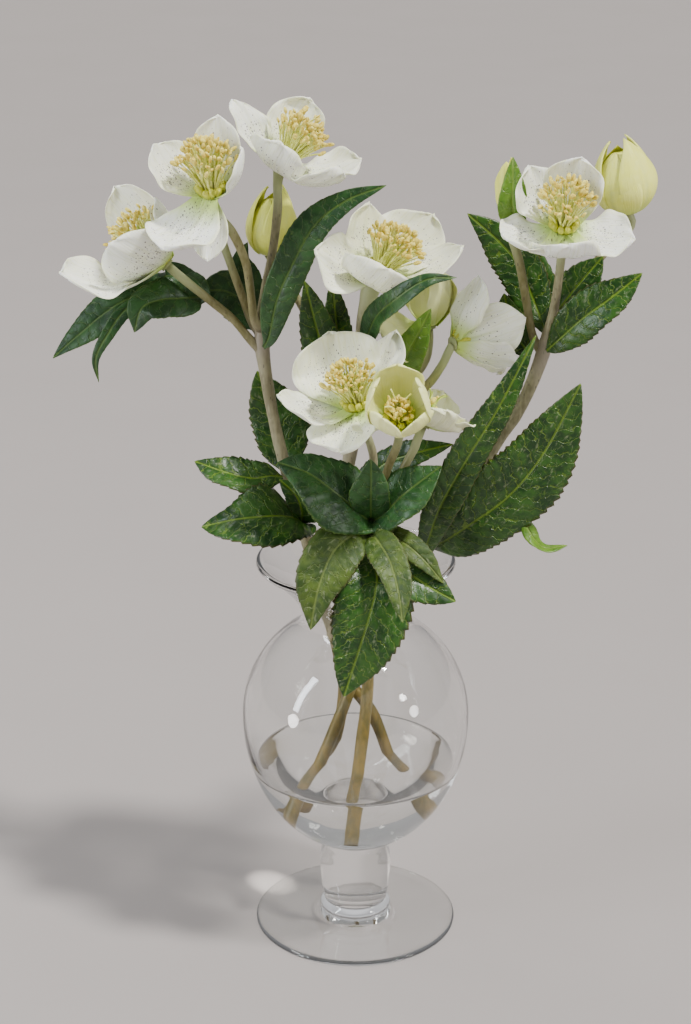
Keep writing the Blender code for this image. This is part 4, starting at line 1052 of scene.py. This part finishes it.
def blade(made, lobe, seed, teeth, rows=120, columns=17):
    """One leaf blade. Its half width swells from a narrow stalk and comes to a point, its two
    halves fold up from the midrib, its face turns from the base's way to the tip's, its
    edge is cut in forward teeth and waves a little, and the side veins are sunk."""
    points, half_width, fold, *faces = lobe
    chance = np.random.default_rng(seed)
    path = curve_through(points, rows)
    length = np.linalg.norm(np.diff(path, axis=0), axis=1).sum()
    s, v = np.linspace(0, 1, rows)[:, None], np.linspace(-1, 1, columns)
    half, off = np.sign(v), np.abs(v)
    along = unit(np.gradient(path, axis=0))
    turn = np.clip(s * 2, 0, 1)
    upper = unit(unit(faces[0]) * (1 - turn) + unit(faces[-1]) * turn)
    across = unit(np.cross(along, upper))
    normal = np.cross(across, along)
    width = np.maximum(half_width * swell(s, 0.46, 0.85), 1.1 * (1 - s) + 0.15)
    count = max(8, round(length / TOOTH_PITCH))
    bite = (s * count + 0.35 * chance.random() - 0.25 * off) % 1.0
    saw = np.where(off > 0.99, teeth * (bite - 0.5), 0.0) * swell(s, 0.6, 0.5)
    waves = chance.uniform(0, LATEST_PHASE, 6)
    uneven = (1 + 0.07 * np.sin(6 * s + waves[2] + 2 * half)
              + 0.035 * np.sin(14 * s + waves[3] + 2 * half))
    reach = v * width * (1 + saw) * uneven
    wave = (0.11 * off ** 2 * np.sin(11 * s + waves[0] + half * 1.9)
            + 0.05 * np.sin(5 * s + waves[1]) * v) * width
    sunk = 0.035 * width * np.exp(-(v / 0.07) ** 2)
    slant = (s * length - 0.75 * np.abs(reach)) / VEIN_PITCH
    quilt = 0.032 * width * np.cos(FULL_TURN * slant) * off ** 0.7 * (1 - off ** 3)
    tilt = math.radians(fold)
    lift = np.abs(reach) * math.sin(tilt) - 0.16 * off ** 2.2 * width + wave - sunk + quilt
    grid = (path[:, None] + across[:, None] * (reach * math.cos(tilt))[..., None]
            + normal[:, None] * lift[..., None])
    mapped = grid_of(s * length / 10 + seed * 1.3, reach / 10)
    made.sheet(grid, LEAF_THICKNESS, mapped, grid_of(s, v, 0, 0))


# How deep each kind of leaf is toothed, as a share of its half width.
TEETH = {"leaf_dark": 0.10, "leaf_olive": 0.06, "leaf_blue": 0.045, "leaf_fresh": 0.03}

for leaf_number, (leaf_name, (skin, lobes)) in enumerate(LEAVES.items()):
    leaf = Surfaces()
    for lobe_number, lobe_row in enumerate(lobes):
        blade(leaf, lobe_row, leaf_number * 7 + lobe_number, TEETH[skin])
    made = leaf.mesh_object(leaf_name + "_blade", [LEAF[skin]])
    if leaf_name == "leaf_right_curl":
        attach(made, "root")
    else:
        stand_for(made, leaf_name, "bract" if leaf_name == "bract_12" else "leaf")


# Floor, light and camera

def floor_finish():
    """Plain warm grey paper with a faint grain."""
    paper = Finish("floor_paper", 0.85, Specular_IOR_Level=0.15)
    grain = paper.noise(paper.place(), 9.0)
    return paper.wear(Base_Color=paper.blend(grain, (0.284, 0.260, 0.246), (0.300, 0.275, 0.261)))


FAR = 40
floor_mesh = bpy.data.meshes.new("floor")
floor_mesh.from_pydata([(-FAR, -FAR, 0), (FAR, -FAR, 0), (FAR, FAR, 0), (-FAR, FAR, 0)], [],
                       [(0, 1, 2, 3)])
floor_mesh.materials.append(floor_finish())
floor = bpy.data.objects.new("floor", floor_mesh)
floor.location.z = -0.0002
bpy.context.scene.collection.objects.link(floor)


def lamp(name, kind, place, target, power, colour, **settings):
    """A lamp at a place, turned to face the target."""
    light = bpy.data.lights.new(name, kind)
    light.energy, light.color = power, colour
    for setting, value in settings.items():
        setattr(light, setting, value)
    made = bpy.data.objects.new(name, light)
    way = np.array(target, float) - np.array(place, float)
    made.location = place
    made.rotation_euler = (math.atan2(math.hypot(way[0], way[1]), -way[2]), 0,
                           math.atan2(-way[0], way[1]))
    bpy.context.scene.collection.objects.link(made)


lamp("key", "SUN", (0.42, -0.22, 0.88), (0, 0, 0), 4.7, (1.0, 0.975, 0.95),
     angle=math.radians(6))
lamp("window", "AREA", (-1.15, -0.55, 0.85), (0, 0, 0.15), 12, (0.86, 0.92, 1.0),
     shape="RECTANGLE", size=0.16, size_y=0.9)
# Round lamps, each where the bowl mirrors it back to the camera: place, width and power.
ROUND_LAMPS = [((-0.54, 0.42, 1.16), 0.16, 2.0), ((-1.12, -0.54, 0.22), 0.24, 4.2),
               ((1.08, -0.56, 0.43), 0.23, 2.6), ((0.91, -0.60, 0.74), 0.14, 2.4)]
for lamp_number, (place, width, power) in enumerate(ROUND_LAMPS):
    lamp("round_" + str(lamp_number), "AREA", place, (0, 0, 0.14), power, (1.0, 0.98, 0.95),
         shape="DISK", size=width)
# The bright patch that the bowl throws on the table behind the foot.
lamp("patch", "SPOT", (-0.50, 0.50, 0.60), (-0.046, 0.033, 0), 120, (1.0, 0.97, 0.92),
     spot_size=math.radians(1.7), spot_blend=1.0, shadow_soft_size=0.0)

# The room: dim level with the table and bright overhead, and dimmer in mirrors than on skin.
world = bpy.data.worlds.new("studio")
bpy.context.scene.world = world
world.use_nodes = True
room = Nodes(world.node_tree)
height = room.split(room.wire("TexCoord", output="Generated"))["Z"]
level = room.window(height, 0.15, 0.80, 0.36, 0.95)
ray = room.wire("LightPath")
mirrored = ray["Is Glossy Ray"] * ray["Is Reflection Ray"]
sky = world.node_tree.nodes["Background"]
room.feed(sky.inputs["Color"], (0.965, 0.97, 1.0))
room.feed(sky.inputs["Strength"], level * (mirrored * -0.75 + 1.0))

# The camera stands a metre in front of the bouquet, above its top, and looks down on it.
LENS, DOWNWARD = 84.3, 21.44
view = bpy.data.cameras.new("view")
view.lens = LENS
view.sensor_width = 36
view.clip_end = 50
camera = bpy.data.objects.new("view", view)
camera.location = (-0.0052, -1.117, 0.670)
camera.rotation_euler = (math.radians(90 - DOWNWARD), 0, 0)
bpy.context.scene.collection.objects.link(camera)
bpy.context.scene.camera = camera
